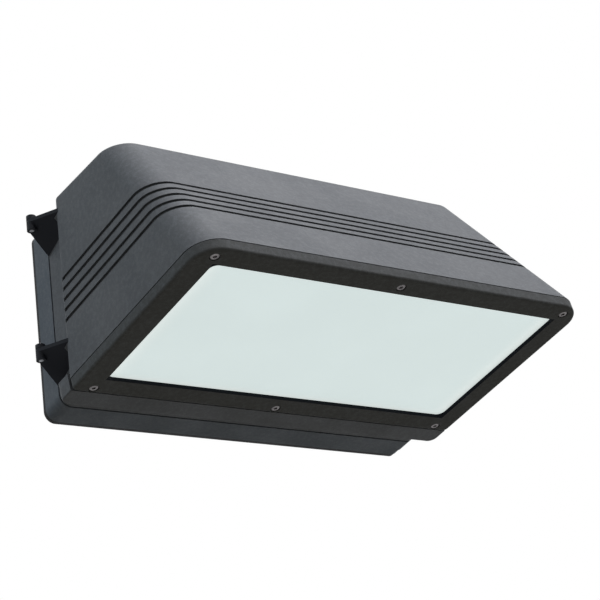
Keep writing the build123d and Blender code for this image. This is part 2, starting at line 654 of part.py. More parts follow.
def bracket_screw_places():
    """X of the two screws through driver tabs and bracket."""
    reach = DRIVER_LENGTH / 2 + DRIVER_TAB / 2
    return (-reach, reach)


def make_driver_case():
    case = slab(DRIVER_LENGTH, DRIVER_WIDTH, 0, BRACKET_TOP, BRACKET_TOP + DRIVER_HEIGHT, PLATE_CENTRE)
    rim = [e for e in case.edges() if e.center().Z > BRACKET_TOP + 1]
    case = fillet(rim, DRIVER_ROUND)
    tab_high = BRACKET_TOP + DRIVER_TAB_THICK
    case += slab(DRIVER_LENGTH + 2 * DRIVER_TAB, DRIVER_WIDTH * 0.6, 4, BRACKET_TOP, tab_high, PLATE_CENTRE)
    for x in bracket_screw_places():
        case -= upright(SMALL_SCREW_R + SCREW_FIT, x, PLATE_CENTRE, 0, BRACKET_TOP + OVER)
    return LENS * case


def make_driver_screws():
    seat = BRACKET_TOP + DRIVER_TAB_THICK
    screws = []
    for x in bracket_screw_places():
        head = upright(SMALL_SCREW_HEAD_R, x, PLATE_CENTRE, seat, seat + SMALL_SCREW_HEAD)
        screws.append(LENS * (head + upright(SMALL_SCREW_R, x, PLATE_CENTRE, PLATE_TOP, seat)))
    return Compound(children=screws)


def make_terminal_block():
    """Three-way block with a wire mouth and a screw well for each way."""
    x = TERMINAL_X
    block = Pos(x, PLATE_CENTRE, PLATE_TOP) * Box(
        TERMINAL_LENGTH, TERMINAL_WIDTH, TERMINAL_HEIGHT, align=(Align.CENTER, Align.CENTER, Align.MIN)
    )
    pitch = TERMINAL_LENGTH / TERMINAL_WAYS
    for way in range(TERMINAL_WAYS):
        way_x = x + (way - (TERMINAL_WAYS - 1) / 2) * pitch
        block -= upright(2.6, way_x, PLATE_CENTRE, PLATE_TOP + TERMINAL_HEIGHT - 6, PLATE_TOP + TERMINAL_HEIGHT + 1)
        mouth = Pos(way_x, PLATE_CENTRE + TERMINAL_WIDTH / 2, PLATE_TOP + 7) * Box(5, 16, 5)
        block -= mouth
    return LENS * block


def lead(points):
    """Round wire along straight runs and bends, in lens coordinates."""
    path = FilletPolyline(*points, radius=LEAD_BEND)
    section = Plane(origin=path @ 0, z_dir=path % 0) * Circle(LEAD_R)
    return LENS * sweep(section, path=path)


def make_input_leads():
    """Three mains wires from the driver end to the front of the terminal block."""
    wires = []
    for k in range(TERMINAL_WAYS):
        way_x = TERMINAL_X + (k - (TERMINAL_WAYS - 1) / 2) * TERMINAL_LENGTH / TERMINAL_WAYS
        v = PLATE_CENTRE - LEAD_PITCH + k * LEAD_PITCH
        level = BRACKET_TOP + DRIVER_HEIGHT / 2
        face_v = PLATE_CENTRE - TERMINAL_WIDTH / 2
        points = [
            (DRIVER_LENGTH / 2, v, level),
            (way_x - 2 * LEAD_BEND, v, level),
            (way_x, face_v - LEAD_LOOP, level - LEAD_BEND),
            (way_x, face_v - LEAD_LOOP, PLATE_TOP + LEAD_MOUTH),
            (way_x, face_v, PLATE_TOP + LEAD_MOUTH),
        ]
        wires.append(lead(points))
    return Compound(children=wires)


def make_led_leads():
    """Two wires from the other driver end through the plate to the board."""
    wires = []
    for side in (-1, 1):
        v = PLATE_CENTRE + side * LED_LEAD_HALF_PITCH
        hole_x = -BOARD_WIDTH / 2 - LEAD_HOLE_OUT
        high, low = BRACKET_TOP + DRIVER_HEIGHT / 2, PLATE_HEIGHT - BOARD_THICK - LEAD_R
        points = [(-DRIVER_LENGTH / 2, v, high), (hole_x, v, high), (hole_x, v, low), (hole_x + LEAD_ONTO_BOARD, v, low)]
        wires.append(lead(points))
    return Compound(children=wires)


# ---------------------------------------------------------------- build and export
def main():
    nodes = {
        "back_box": make_back_box(),
        "wall_gasket": make_wall_gasket(),
        "entry_grommet": make_entry_grommet(),
        "ground_screw": make_ground_screw(),
        "hinge_pin_lower": make_hinge_pin(HINGE_Z[0]),
        "hinge_pin_upper": make_hinge_pin(HINGE_Z[1]),
        "housing_shell": make_housing_shell(),
        "housing_seal": make_housing_seal(),
        "door_frame": make_door_frame(),
        "lens": make_lens(),
        "lens_gasket": make_lens_gasket(),
        "frame_screws": make_frame_screws(),
        "captive_screw_lower": make_captive_screw(SCREW_EAR_Z[0]),
        "captive_screw_upper": make_captive_screw(SCREW_EAR_Z[1]),
        "mounting_plate": make_mounting_plate(),
        "plate_screws": make_plate_screws(),
        "led_board": make_led_board(),
        "led_chips": make_led_chips(),
        "reflector": make_reflector(),
        "driver_bracket": make_driver_bracket(),
        "driver_case": make_driver_case(),
        "driver_screws": make_driver_screws(),
        "terminal_block": make_terminal_block(),
        "input_leads": make_input_leads(),
        "led_leads": make_led_leads(),
    }
    os.makedirs("parts", exist_ok=True)
    for name, shape in nodes.items():
        export_step(shape, f"parts/{name}.step")
        print(name, len(shape.solids()), round(shape.volume, 1))


main()
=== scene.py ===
"""Looks of an outdoor wall pack light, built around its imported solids.

Lengths are metres.  The wall is the plane Y = 0 and the light stands out towards -Y; +X is to the
right of someone who faces the wall and +Z is up.  Lens coordinates are X, the distance behind the
front edge of the door frame, and the height above its face.
"""

import logging
import math
from dataclasses import dataclass, field, replace
from enum import Enum

import bmesh
import bpy
from bpy.types import Material, Node, NodeSocket, NodeTree, NodeTreeInterfaceSocket, Object
from mathutils import Matrix, Vector

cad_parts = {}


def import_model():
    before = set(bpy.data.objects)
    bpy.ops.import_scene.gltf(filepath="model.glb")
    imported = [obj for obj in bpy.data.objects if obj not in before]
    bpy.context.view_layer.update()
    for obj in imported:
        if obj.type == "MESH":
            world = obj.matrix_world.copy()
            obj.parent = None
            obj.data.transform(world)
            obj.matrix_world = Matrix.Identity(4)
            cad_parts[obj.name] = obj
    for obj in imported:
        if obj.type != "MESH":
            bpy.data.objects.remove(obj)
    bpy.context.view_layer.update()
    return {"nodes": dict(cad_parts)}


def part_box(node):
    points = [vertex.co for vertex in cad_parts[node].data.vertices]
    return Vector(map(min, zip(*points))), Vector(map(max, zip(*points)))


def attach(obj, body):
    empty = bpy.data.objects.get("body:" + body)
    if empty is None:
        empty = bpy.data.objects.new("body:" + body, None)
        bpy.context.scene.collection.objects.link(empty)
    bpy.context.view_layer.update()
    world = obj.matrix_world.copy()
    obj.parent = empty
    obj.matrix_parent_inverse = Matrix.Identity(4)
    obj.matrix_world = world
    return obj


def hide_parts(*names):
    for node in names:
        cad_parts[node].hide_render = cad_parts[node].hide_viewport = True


log = logging.getLogger("wall_pack")

Triple = tuple[float, float, float]
Colour = Triple
Span = tuple[float, float]
Sockets = bpy.types.bpy_prop_collection

FRONT_EDGE = (0.0, -0.234, -0.052)
LENS_TILT = math.radians(8.0)
SIDE_FLARE = math.radians(4.2)
LENS_FRAME = Matrix.Translation(FRONT_EDGE) @ Matrix.Rotation(-LENS_TILT, 4, "X")
LENS_TURN = (-LENS_TILT, 0.0, 0.0)
LENS_CENTRE = 0.090
ENGINE_CENTRE = 0.098
PLATE_BOTTOM = 0.044
PLATE_TOP = 0.047
QUARTER_TURN = math.pi / 2
UNIT = (0.0, 1.0)
SAME_POINT = 1e-6


def lens_point(x: float, behind: float, height: float) -> Vector:
    """Point of the object's frame that lies at these lens coordinates.

    Args:
        x: Distance to the right of the middle.
        behind: Distance behind the front edge of the door frame.
        height: Height above the face of the door frame.

    Returns:
        The point in the object's frame.
    """
    return LENS_FRAME @ Vector((x, behind, height))


# ---------------------------------------------------------------- node trees
class NodeGraph:
    """Adds nodes to a tree and links or sets their sockets in one call."""

    MIX_SHARE, MIX_FIRST, MIX_SECOND, MIX_RESULT = 0, 6, 7, 2

    def __init__(self, tree: NodeTree) -> None:
        """Keep the tree that the nodes go into."""
        self.tree = tree

    def feed(self, node: Node, inputs: dict) -> None:
        """Link or set inputs of a node.

        Args:
            node: The node.
            inputs: Socket name or index to a value, or to the output socket to link from.
        """
        for name, value in inputs.items():
            if isinstance(value, NodeSocket):
                self.tree.links.new(value, node.inputs[name])
            else:
                node.inputs[name].default_value = value

    def node(self, kind: str, inputs: dict | None = None, **settings: object) -> Node:
        """Add one node.

        Args:
            kind: Type name of the node.
            inputs: What feeds it, by socket name or index.
            settings: Attributes of the node itself.

        Returns:
            The new node.
        """
        made = self.tree.nodes.new(kind)
        for name, value in settings.items():
            setattr(made, name, value)
        self.feed(made, inputs or {})
        return made

    def output(self, kind: str, inputs: dict | None = None, **settings: object) -> NodeSocket:
        """First output of one new node."""
        return self.node(kind, inputs, **settings).outputs[0]

    def math(self, operation: str, first: object, second: object = 0.0) -> NodeSocket:
        """Result of one Math node on two numbers or sockets."""
        return self.output("ShaderNodeMath", {0: first, 1: second}, operation=operation)

    def times(self, first: object, second: object) -> NodeSocket:
        """Product of two numbers or sockets."""
        return self.math("MULTIPLY", first, second)

    def vector(self, operation: str, inputs: dict) -> NodeSocket:
        """Vector result of one Vector Math node."""
        return self.output("ShaderNodeVectorMath", inputs, operation=operation)

    def split(self, vector: NodeSocket) -> Sockets:
        """X, Y and Z of a vector, by name."""
        return self.node("ShaderNodeSeparateXYZ", {0: vector}).outputs

    def scaled(self, value: NodeSocket, span: Span, onto: Span = UNIT) -> NodeSocket:
        """Value mapped smoothly from one span onto another, and held at its ends.

        Args:
            value: The value.
            span: Low and high end of the value.
            onto: What the two ends become.

        Returns:
            The mapped value.
        """
        labels = ("Value", "From Min", "From Max", "To Min", "To Max")
        inputs = dict(zip(labels, (value, *span, *onto)))
        return self.output("ShaderNodeMapRange", inputs, interpolation_type="SMOOTHSTEP")

    def mixed(self, share: object, first: object, second: object) -> NodeSocket:
        """Colour between two colours.

        Args:
            share: Share of the second colour.
            first: Colour or socket at share 0.
            second: Colour or socket at share 1.

        Returns:
            The mixed colour.
        """
        ends = [end if isinstance(end, NodeSocket) else (*end, 1.0) for end in (first, second)]
        inputs = {self.MIX_SHARE: share, self.MIX_FIRST: ends[0], self.MIX_SECOND: ends[1]}
        return self.node("ShaderNodeMix", inputs, data_type="RGBA").outputs[self.MIX_RESULT]

    def noise(
        self, place: NodeSocket, scale: object, detail: float, roughness: float = 0.6
    ) -> NodeSocket:
        """Value of one noise texture at a place."""
        inputs = {"Vector": place, "Scale": scale, "Detail": detail, "Roughness": roughness}
        return self.output("ShaderNodeTexNoise", inputs)

    def bump(self, height: NodeSocket, depth: float) -> NodeSocket:
        """Normal for a height between 0 and 1 that stands depth metres proud."""
        return self.output("ShaderNodeBump", {"Height": height, "Distance": depth, "Strength": 1.0})

    def place(self) -> NodeSocket:
        """Object coordinates."""
        return self.node("ShaderNodeTexCoord").outputs["Object"]

    def group(self, tree: NodeTree, inputs: dict[str, float]) -> Sockets:
        """Outputs of a shared shader group with its own values."""
        return self.node("ShaderNodeGroup", inputs, node_tree=tree).outputs


class EffectGroup(NodeGraph):
    """Shader group with number inputs, whose outputs get their names when it is closed."""

    def __init__(self, name: str, inputs: dict[str, float]) -> None:
        """Open the group.

        Args:
            name: Name of the group.
            inputs: Input names with their default values.
        """
        super().__init__(bpy.data.node_groups.new(name, "ShaderNodeTree"))
        for label, value in inputs.items():
            self.number_socket(label, "INPUT").default_value = value
        self.given = self.node("NodeGroupInput").outputs

    def number_socket(self, label: str, side: str) -> NodeTreeInterfaceSocket:
        """New number socket among the group's inputs or outputs."""
        return self.tree.interface.new_socket(label, in_out=side, socket_type="NodeSocketFloat")

    def close(self, outputs: dict[str, NodeSocket]) -> NodeTree:
        """Name and link the outputs.

        Args:
            outputs: Output names with the sockets that feed them.

        Returns:
            The finished group.
        """
        for label in outputs:
            self.number_socket(label, "OUTPUT")
        self.node("NodeGroupOutput", outputs)
        return self.tree


class SharedEffects:
    """The shader groups that several finishes use, each built once."""

    PEEL_SCALE = 0.22
    PEEL_SHARE = 0.4
    SLOW_SPAN = (0.3, 0.7)
    EDGE_TURN = (0.80, 0.99)
    EDGE_BREAKUP_SPAN = (0.40, 0.62)
    FACES_UP = (0.55, 1.0)
    PATCH_SPAN = (0.35, 0.75)
    PATCH_SHARES = (0.2, 1.0)
    ALONG_X = (0.03, 1.0, 1.0)

    def __init__(self) -> None:
        """Build all groups."""
        self.grain = self._grain()
        self.edge_wear = self._edge_wear()
        self.dust = self._dust()
        self.brushing = self._brushing()

    def _grain(self) -> NodeTree:
        """Fine bumps of a powder coat or moulded skin, with a slow mottle.

        Returns:
            The group, with Height and Mottle.
        """
        graph = EffectGroup("fine_grain", {"Scale": 1200.0, "Mottle Scale": 25.0})
        place, scale = graph.place(), graph.given["Scale"]
        fine = graph.noise(place, scale, detail=2.0)
        peel = graph.noise(place, graph.times(scale, self.PEEL_SCALE), detail=1.0, roughness=0.5)
        fine, peel = graph.times(fine, 1 - self.PEEL_SHARE), graph.times(peel, self.PEEL_SHARE)
        mottle = graph.noise(place, graph.given["Mottle Scale"], detail=4.0)
        mottle = graph.scaled(mottle, self.SLOW_SPAN)
        return graph.close({"Height": graph.math("ADD", fine, peel), "Mottle": mottle})

    def _edge_wear(self) -> NodeTree:
        """Mask of the sharp edges, broken up by noise.

        Returns:
            The group, with Mask.
        """
        # Edge mask: real wear on bare metal; on the powder coat partly thin coat, partly painted
        # highlight.
        graph = EffectGroup("edge_wear", {"Radius": 0.0008, "Breakup": 220.0})
        rounded = graph.output("ShaderNodeBevel", {"Radius": graph.given["Radius"]}, samples=4)
        flat = graph.node("ShaderNodeNewGeometry").outputs["Normal"]
        turn = graph.node("ShaderNodeVectorMath", {0: rounded, 1: flat}, operation="DOT_PRODUCT")
        edge = graph.scaled(turn.outputs["Value"], self.EDGE_TURN, onto=(1.0, 0.0))
        broken = graph.noise(graph.place(), graph.given["Breakup"], detail=5.0, roughness=0.7)
        return graph.close({"Mask": graph.times(edge, graph.scaled(broken, self.EDGE_BREAKUP_SPAN))})

    def _dust(self) -> NodeTree:
        """Mask of what settles on faces that look up.

        Returns:
            The group, with Mask.
        """
        graph = EffectGroup("settled_dust", {"Amount": 0.2, "Scale": 60.0})
        up = graph.split(graph.node("ShaderNodeNewGeometry").outputs["Normal"])["Z"]
        patches = graph.noise(graph.place(), graph.given["Scale"], detail=6.0, roughness=0.65)
        patches = graph.scaled(patches, self.PATCH_SPAN, self.PATCH_SHARES)
        mask = graph.times(graph.scaled(up, self.FACES_UP), patches)
        return graph.close({"Mask": graph.times(mask, graph.given["Amount"])})

    def _brushing(self) -> NodeTree:
        """Long rolling or drawing marks of bare metal along X, with a slow stain.

        Returns:
            The group, with Height and Stain.
        """
        graph = EffectGroup("brushed_marks", {"Scale": 900.0, "Stain Scale": 40.0})
        place = graph.place()
        along = graph.vector("MULTIPLY", {0: place, 1: self.ALONG_X})
        marks = graph.noise(along, graph.given["Scale"], detail=3.0)
        stain = graph.noise(place, graph.given["Stain Scale"], detail=5.0)
        return graph.close({"Height": marks, "Stain": graph.scaled(stain, self.SLOW_SPAN)})


# ---------------------------------------------------------------- finishes
def open_material(name: str) -> tuple[Material, NodeGraph, Node]:
    """New material with its graph and its Principled shader.

    Args:
        name: Name of the material.

    Returns:
        The material, its graph and the shader.
    """
    material = bpy.data.materials.new(name)
    material.use_nodes = True
    return material, NodeGraph(material.node_tree), material.node_tree.nodes["Principled BSDF"]


def from_lens_middle(graph: NodeGraph) -> NodeSocket:
    """Object coordinates counted from the middle of the lens opening."""
    return graph.vector("SUBTRACT", {0: graph.place(), 1: lens_point(0.0, LENS_CENTRE, 0.0)})


@dataclass(frozen=True)
class Finish:
    """Base of all finishes: a name, a main colour and the material made from them."""

    name: str
    colour: Colour

    def material(self, effects: SharedEffects) -> Material:
        """Build the finish's material.

        Args:
            effects: The shared shader groups.

        Returns:
            The material.
        """
        material, graph, shader = open_material(self.name)
        graph.feed(shader, self.looks(graph, effects))
        return material

    def looks(self, graph: NodeGraph, effects: SharedEffects) -> dict:
        """What feeds the shader, by input name; each finish has its own."""
        raise NotImplementedError


@dataclass(frozen=True)
class PaintedShadeZones:
    """Painted shade: the castings are black on the hinge lugs and on the lip of the lens opening.

    A point is beside a casting if it lies further to the left than the first number of a pair, with
    the flare of the sides taken off, and nearer to the wall than the second.  The first pair is for
    the neck and the second for the body.  Lugs reach from lug_drop under their height to lug_rise
    over it.
    """

    outside_behind: tuple[Span, ...] = ((0.1678, -0.0515), (0.1763, -0.0595))
    hinge_heights: Span = (-0.038, 0.072)
    lug_drop: float = 0.0215
    lug_rise: float = 0.0075
    half_width: float = 0.1622
    half_length: float = 0.0729
    lip_height: float = 0.0031

    def mask(self, graph: NodeGraph) -> NodeSocket:
        """One on the lugs and the lip, where the shade is painted, zero elsewhere.

        Args:
            graph: Graph of the material.

        Returns:
            The mask.
        """
        at = graph.split(graph.place())
        out = graph.math("SUBTRACT", graph.times(at["Z"], math.tan(SIDE_FLARE)), at["X"])
        beside = [
            graph.times(graph.math("GREATER_THAN", out, x), graph.math("GREATER_THAN", at["Y"], y))
            for x, y in self.outside_behind
        ]
        levels = []
        for height in self.hinge_heights:
            middle = height + (self.lug_rise - self.lug_drop) / 2
            away = graph.math("ABSOLUTE", graph.math("SUBTRACT", at["Z"], middle))
            levels.append(graph.math("LESS_THAN", away, (self.lug_rise + self.lug_drop) / 2))
        lugs = graph.times(graph.math("MAXIMUM", *beside), graph.math("MAXIMUM", *levels))
        inputs = {0: from_lens_middle(graph), "Angle": LENS_TILT}
        run = graph.split(graph.output("ShaderNodeVectorRotate", inputs, rotation_type="X_AXIS"))
        wide = graph.math("LESS_THAN", graph.math("ABSOLUTE", run["X"]), self.half_width)
        long = graph.math("LESS_THAN", graph.math("ABSOLUTE", run["Y"]), self.half_length)
        low = graph.math("LESS_THAN", run["Z"], self.lip_height)
        return graph.math("MAXIMUM", lugs, graph.times(graph.times(wide, long), low))


@dataclass(frozen=True)
class PowderCoat(Finish):
    """Textured polyester powder coat on a casting."""

    light_speck: Colour
    # Colour of the painted shade on the hinge lugs and the lip of the lens opening.
    black: Colour
    painted_shade_zones: PaintedShadeZones = PaintedShadeZones()
    deep_shade: float = 0.955
    roughness: Span = (0.57, 0.68)
    specular: float = 0.12
    grain_scale: float = 1300.0
    grain_depth: float = 0.00006
    mottle_scale: float = 22.0
    speck_span: Span = (0.42, 0.66)
    speck_share: float = 0.35
    # Share of the lighter edges, partly thin coat and partly painted highlight.
    edge_lightening: float = 0.35
    edge_radius: float = 0.0009
    edge_breakup: float = 260.0
    dust: float = 0.10
    dust_scale: float = 45.0
    dust_colour: Colour = (0.42, 0.40, 0.37)
    dust_roughness: float = 0.6

    def looks(self, graph: NodeGraph, effects: SharedEffects) -> dict:
        """Grain, mottle, edges lighter from thin coat and painted highlight, a little dust, and
        painted black shade on lugs and lip.

        Args:
            graph: Graph of the material.
            effects: The shared shader groups.

        Returns:
            Inputs of the shader by name.
        """
        sizes = {"Scale": self.grain_scale, "Mottle Scale": self.mottle_scale}
        grain = graph.group(effects.grain, sizes)
        sizes = {"Radius": self.edge_radius, "Breakup": self.edge_breakup}
        edge = graph.group(effects.edge_wear, sizes)["Mask"]
        dust = graph.group(effects.dust, {"Amount": self.dust, "Scale": self.dust_scale})["Mask"]
        speck = graph.scaled(grain["Height"], self.speck_span, onto=(0.0, self.speck_share))
        deep = tuple(self.deep_shade * c for c in self.colour)
        body = graph.mixed(grain["Mottle"], deep, self.colour)
        body = graph.mixed(speck, body, self.light_speck)
        # Lighter edges: partly thin coat, partly painted highlight on the rounded edges.
        body = graph.mixed(graph.times(edge, self.edge_lightening), body, self.light_speck)
        body = graph.mixed(dust, body, self.dust_colour)
        rough = graph.scaled(grain["Mottle"], UNIT, self.roughness)
        return {
            # Painted shade: the lugs and the lip of the lens opening take the black colour.
            "Base Color": graph.mixed(self.painted_shade_zones.mask(graph), body, self.black),
            "Roughness": graph.math("ADD", rough, graph.times(dust, self.dust_roughness)),
            "Specular IOR Level": self.specular,
            "Normal": graph.bump(grain["Height"], self.grain_depth),
        }


@dataclass(frozen=True)
class OpalLens(Finish):
    """Frosted diffusing cover that glows evenly, a little more along its rim."""

    rim_colour: Colour
    glow: float
    rim_glow: float
    half_width: float = 0.1618
    half_length: float = 0.0725
    rim_start: float = 0.90
    frost_scale: float = 2200.0
    frost_depth: float = 0.00001
    mottle_scale: float = 9.0
    dull_tone: float = 0.97
    roughness: float = 0.38
    specular: float = 0.4

    def looks(self, graph: NodeGraph, effects: SharedEffects) -> dict:
        """Even glow that rises to the rim, over fine frosting.

        Args:
            graph: Graph of the material.
            effects: The shared shader groups.

        Returns:
            Inputs of the shader by name.
        """
        at = graph.split(from_lens_middle(graph))
        across = graph.math("DIVIDE", graph.math("ABSOLUTE", at["X"]), self.half_width)
        run = graph.math("DIVIDE", at["Y"], self.half_length * math.cos(LENS_TILT))
        nearness = graph.math("MAXIMUM", across, graph.math("ABSOLUTE", run))
        rim = graph.scaled(nearness, (self.rim_start, 1.0))
        sizes = {"Scale": self.frost_scale, "Mottle Scale": self.mottle_scale}
        frost = graph.group(effects.grain, sizes)
        tone = graph.scaled(frost["Mottle"], UNIT, (self.dull_tone, 1.0))
        colour = graph.mixed(rim, self.colour, self.rim_colour)
        shade = graph.vector("SCALE", {0: colour, "Scale": tone})
        light = graph.scaled(rim, UNIT, (self.glow, self.rim_glow))
        return {
            "Base Color": shade,
            "Emission Color": graph.vector("SCALE", {0: shade, "Scale": light}),
            "Emission Strength": 1.0,
            "Roughness": self.roughness,
            "Specular IOR Level": self.specular,
            "Normal": graph.bump(frost["Height"], self.frost_depth),
        }


@dataclass(frozen=True)
class BareMetal(Finish):
    """Plated, drawn, rolled or stainless metal."""

    stain: Colour
    roughness: float = 0.34
    mark_scale: float = 900.0
    mark_depth: float = 0.00001
    stain_scale: float = 120.0
    stain_share: float = 0.6
    stain_roughness: float = 0.18
    edge_radius: float = 0.0003
    edge_breakup: float = 900.0
    edge_share: float = 0.6
    edge_gain: float = 1.25

    def looks(self, graph: NodeGraph, effects: SharedEffects) -> dict:
        """Metal with drawing marks, a slow stain and brighter rubbed edges.

        Args:
            graph: Graph of the material.
            effects: The shared shader groups.

        Returns:
            Inputs of the shader by name.
        """
        sizes = {"Scale": self.mark_scale, "Stain Scale": self.stain_scale}
        marks = graph.group(effects.brushing, sizes)
        sizes = {"Radius": self.edge_radius, "Breakup": self.edge_breakup}
        edge = graph.group(effects.edge_wear, sizes)["Mask"]
        body = graph.mixed(graph.times(marks["Stain"], self.stain_share), self.colour, self.stain)
        bright = tuple(min(1.0, self.edge_gain * c) for c in self.colour)
        rough = (self.roughness, self.roughness + self.stain_roughness)
        return {
            "Base Color": graph.mixed(graph.times(edge, self.edge_share), body, bright),
            "Roughness": graph.scaled(marks["Stain"], UNIT, rough),
            "Metallic": 1.0,
            "Normal": graph.bump(marks["Height"], self.mark_depth),
        }


@dataclass(frozen=True)
class Moulded(Finish):
    """Plastic, rubber, enamel or lacquer skin with a fine grain."""

    shade: Colour
    roughness: float = 0.5
    specular: float = 0.5
    grain_scale: float = 1500.0
    grain_depth: float = 0.00003
    mottle_scale: float = 60.0
    mottle_roughness: float = 0.08
    dust: float = 0.05
    dust_scale: float = 90.0
    dust_colour: Colour = (0.45, 0.43, 0.40)

    def looks(self, graph: NodeGraph, effects: SharedEffects) -> dict:
        """Two close colours under a grain, with some dust on top.

        Args:
            graph: Graph of the material.
            effects: The shared shader groups.

        Returns:
            Inputs of the shader by name.
        """
        sizes = {"Scale": self.grain_scale, "Mottle Scale": self.mottle_scale}
        grain = graph.group(effects.grain, sizes)
        dust = graph.group(effects.dust, {"Amount": self.dust, "Scale": self.dust_scale})["Mask"]
        body = graph.mixed(grain["Mottle"], self.shade, self.colour)
        rough = (self.roughness, self.roughness + self.mottle_roughness)
        return {
            "Base Color": graph.mixed(dust, body, self.dust_colour),
            "Roughness": graph.scaled(grain["Mottle"], UNIT, rough),
            "Specular IOR Level": self.specular,
            "Normal": graph.bump(grain["Height"], self.grain_depth),
        }


class Slot(Enum):
    """The record's material slots, each with the finish that the scene gives it."""

    # The last colour is the painted black shade of the hinge lugs and the lens lip.
    powder_coat = PowderCoat(
        "powder_coat_bronze_grey", (0.103, 0.106, 0.112), (0.19, 0.20, 0.21), (0.010, 0.011, 0.014)
    )
    diffuser = OpalLens("frosted_opal", (0.665, 0.76, 0.76), (0.73, 0.80, 0.79), 0.75, 0.78)
    gasket_rubber = Moulded(
        "black_seal_rubber", (0.030, 0.030, 0.031), (0.018, 0.018, 0.019), 0.72, 0.3
    )
    zinc_steel = BareMetal("zinc_plated_steel", (0.42, 0.41, 0.39), (0.30, 0.29, 0.27), 0.36)
    pin_steel = BareMetal("stainless_pin", (0.34, 0.34, 0.35), (0.24, 0.24, 0.24), 0.30)
    bare_aluminium = BareMetal(
        "mill_aluminium", (0.80, 0.80, 0.81), (0.66, 0.66, 0.67), 0.30, mark_scale=500.0
    )
    board_white = Moulded("white_solder_mask", (0.82, 0.82, 0.79), (0.77, 0.77, 0.74), 0.35)
    led_phosphor = Moulded("phosphor_gel", (0.86, 0.62, 0.10), (0.80, 0.52, 0.06), 0.2)
    reflector_white = Moulded("white_enamel", (0.88, 0.88, 0.87), (0.84, 0.84, 0.83), 0.28)
    bracket_steel = BareMetal(
        "galvanised_sheet", (0.56, 0.57, 0.58), (0.40, 0.41, 0.42), 0.42, mark_scale=260.0
    )
    driver_case = Moulded(
        "grey_case_enamel", (0.66, 0.66, 0.64), (0.61, 0.61, 0.59), 0.40, grain_scale=700.0
    )
    terminal_nylon = Moulded("natural_nylon", (0.70, 0.68, 0.62), (0.64, 0.62, 0.56), 0.45)
    ground_green = Moulded("green_lacquer", (0.03, 0.24, 0.07), (0.02, 0.18, 0.05), 0.30)
    lead_insulation = Moulded("black_wire_skin", (0.02, 0.02, 0.022), (0.014, 0.014, 0.015), 0.40)


# Painted shade: a darker copy of the zinc plating for the door screws, standing for the dim light
# on them under the frame.
SHADED_ZINC = BareMetal("weathered_zinc", (0.20, 0.185, 0.18), (0.12, 0.11, 0.11), 0.50)
WHITE_WIRE = Moulded("white_wire_skin", (0.78, 0.78, 0.76), (0.72, 0.72, 0.70), 0.38)
GREEN_WIRE = Moulded("green_wire_skin", (0.03, 0.26, 0.08), (0.02, 0.21, 0.06), 0.38)
RED_WIRE = Moulded("red_wire_skin", (0.45, 0.02, 0.02), (0.38, 0.015, 0.015), 0.38)
CERAMIC = Moulded("white_led_package", (0.84, 0.84, 0.82), (0.80, 0.80, 0.78), 0.45)


# ---------------------------------------------------------------- meshes
class Outline(Enum):
    """Outline of one ring of a turned piece, with its number of flats."""

    ROUND = 0
    HEX = 6
    SQUARE = 4

    def reach(self, angle: float) -> float:
        """Distance of the outline from its centre, for an inner radius of 1.

        Args:
            angle: Direction from the centre.

        Returns:
            The distance.
        """
        if self is Outline.ROUND:
            return 1.0
        step = 2 * math.pi / self.value
        return 1.0 / math.cos((angle + step / 2) % step - step / 2)


@dataclass(frozen=True)
class Ring:
    """One ring of a turned piece: its inner radius, its height and its outline."""

    SEGMENTS = 24

    radius: float
    height: float
    outline: Outline = Outline.ROUND

    def points(self) -> list[Vector]:
        """Points of the ring, counterclockwise from +X.

        Returns:
            As many points as there are segments.
        """
        angles = [2 * math.pi * k / self.SEGMENTS for k in range(self.SEGMENTS)]
        spokes = [(self.radius * self.outline.reach(a), a) for a in angles]
        return [Vector((r * math.cos(a), r * math.sin(a), self.height)) for r, a in spokes]


def turned_object(name: str, rings: tuple[Ring, ...]) -> Object:
    """Closed solid from rings that share one upright axis.

    Args:
        name: Name of the object.
        rings: Rings from one end of the surface to the other; both ends are closed.

    Returns:
        The object, linked to the scene, with smooth faces and sharp edges kept.
    """
    mesh = bmesh.new()
    loops = [[mesh.verts.new(point) for point in ring.points()] for ring in rings]
    for low, high in zip(loops, loops[1:]):
        for k in range(len(low)):
            j = (k + 1) % len(low)
            mesh.faces.new((low[k], low[j], high[j], high[k]))
    mesh.faces.new(loops[0])
    mesh.faces.new(loops[-1])
    bmesh.ops.recalc_face_normals(mesh, faces=mesh.faces)
    return finished_object(name, mesh)


def finished_object(name: str, mesh: bmesh.types.BMesh, sharp: float = 35.0) -> Object:
    """Object from a mesh in work, smooth but for its sharp edges.

    Args:
        name: Name of the object.
        mesh: The mesh in work, which is freed.
        sharp: Angle in degrees from which an edge is sharp.

    Returns:
        The object, linked to the scene.
    """
    data = bpy.data.meshes.new(name)
    for face in mesh.faces:
        face.smooth = True
    for edge in mesh.edges:
        edge.smooth = len(edge.link_faces) == 2 and edge.calc_face_angle() < math.radians(sharp)
    mesh.to_mesh(data)
    mesh.free()
    return linked_object(name, data)


def linked_object(name: str, data: bpy.types.ID) -> Object:
    """Object that holds some data, linked to the scene.

    Args:
        name: Name of the object.
        data: Mesh, light or camera data.

    Returns:
        The object.
    """
    made = bpy.data.objects.new(name, data)
    bpy.context.scene.collection.objects.link(made)
    return made


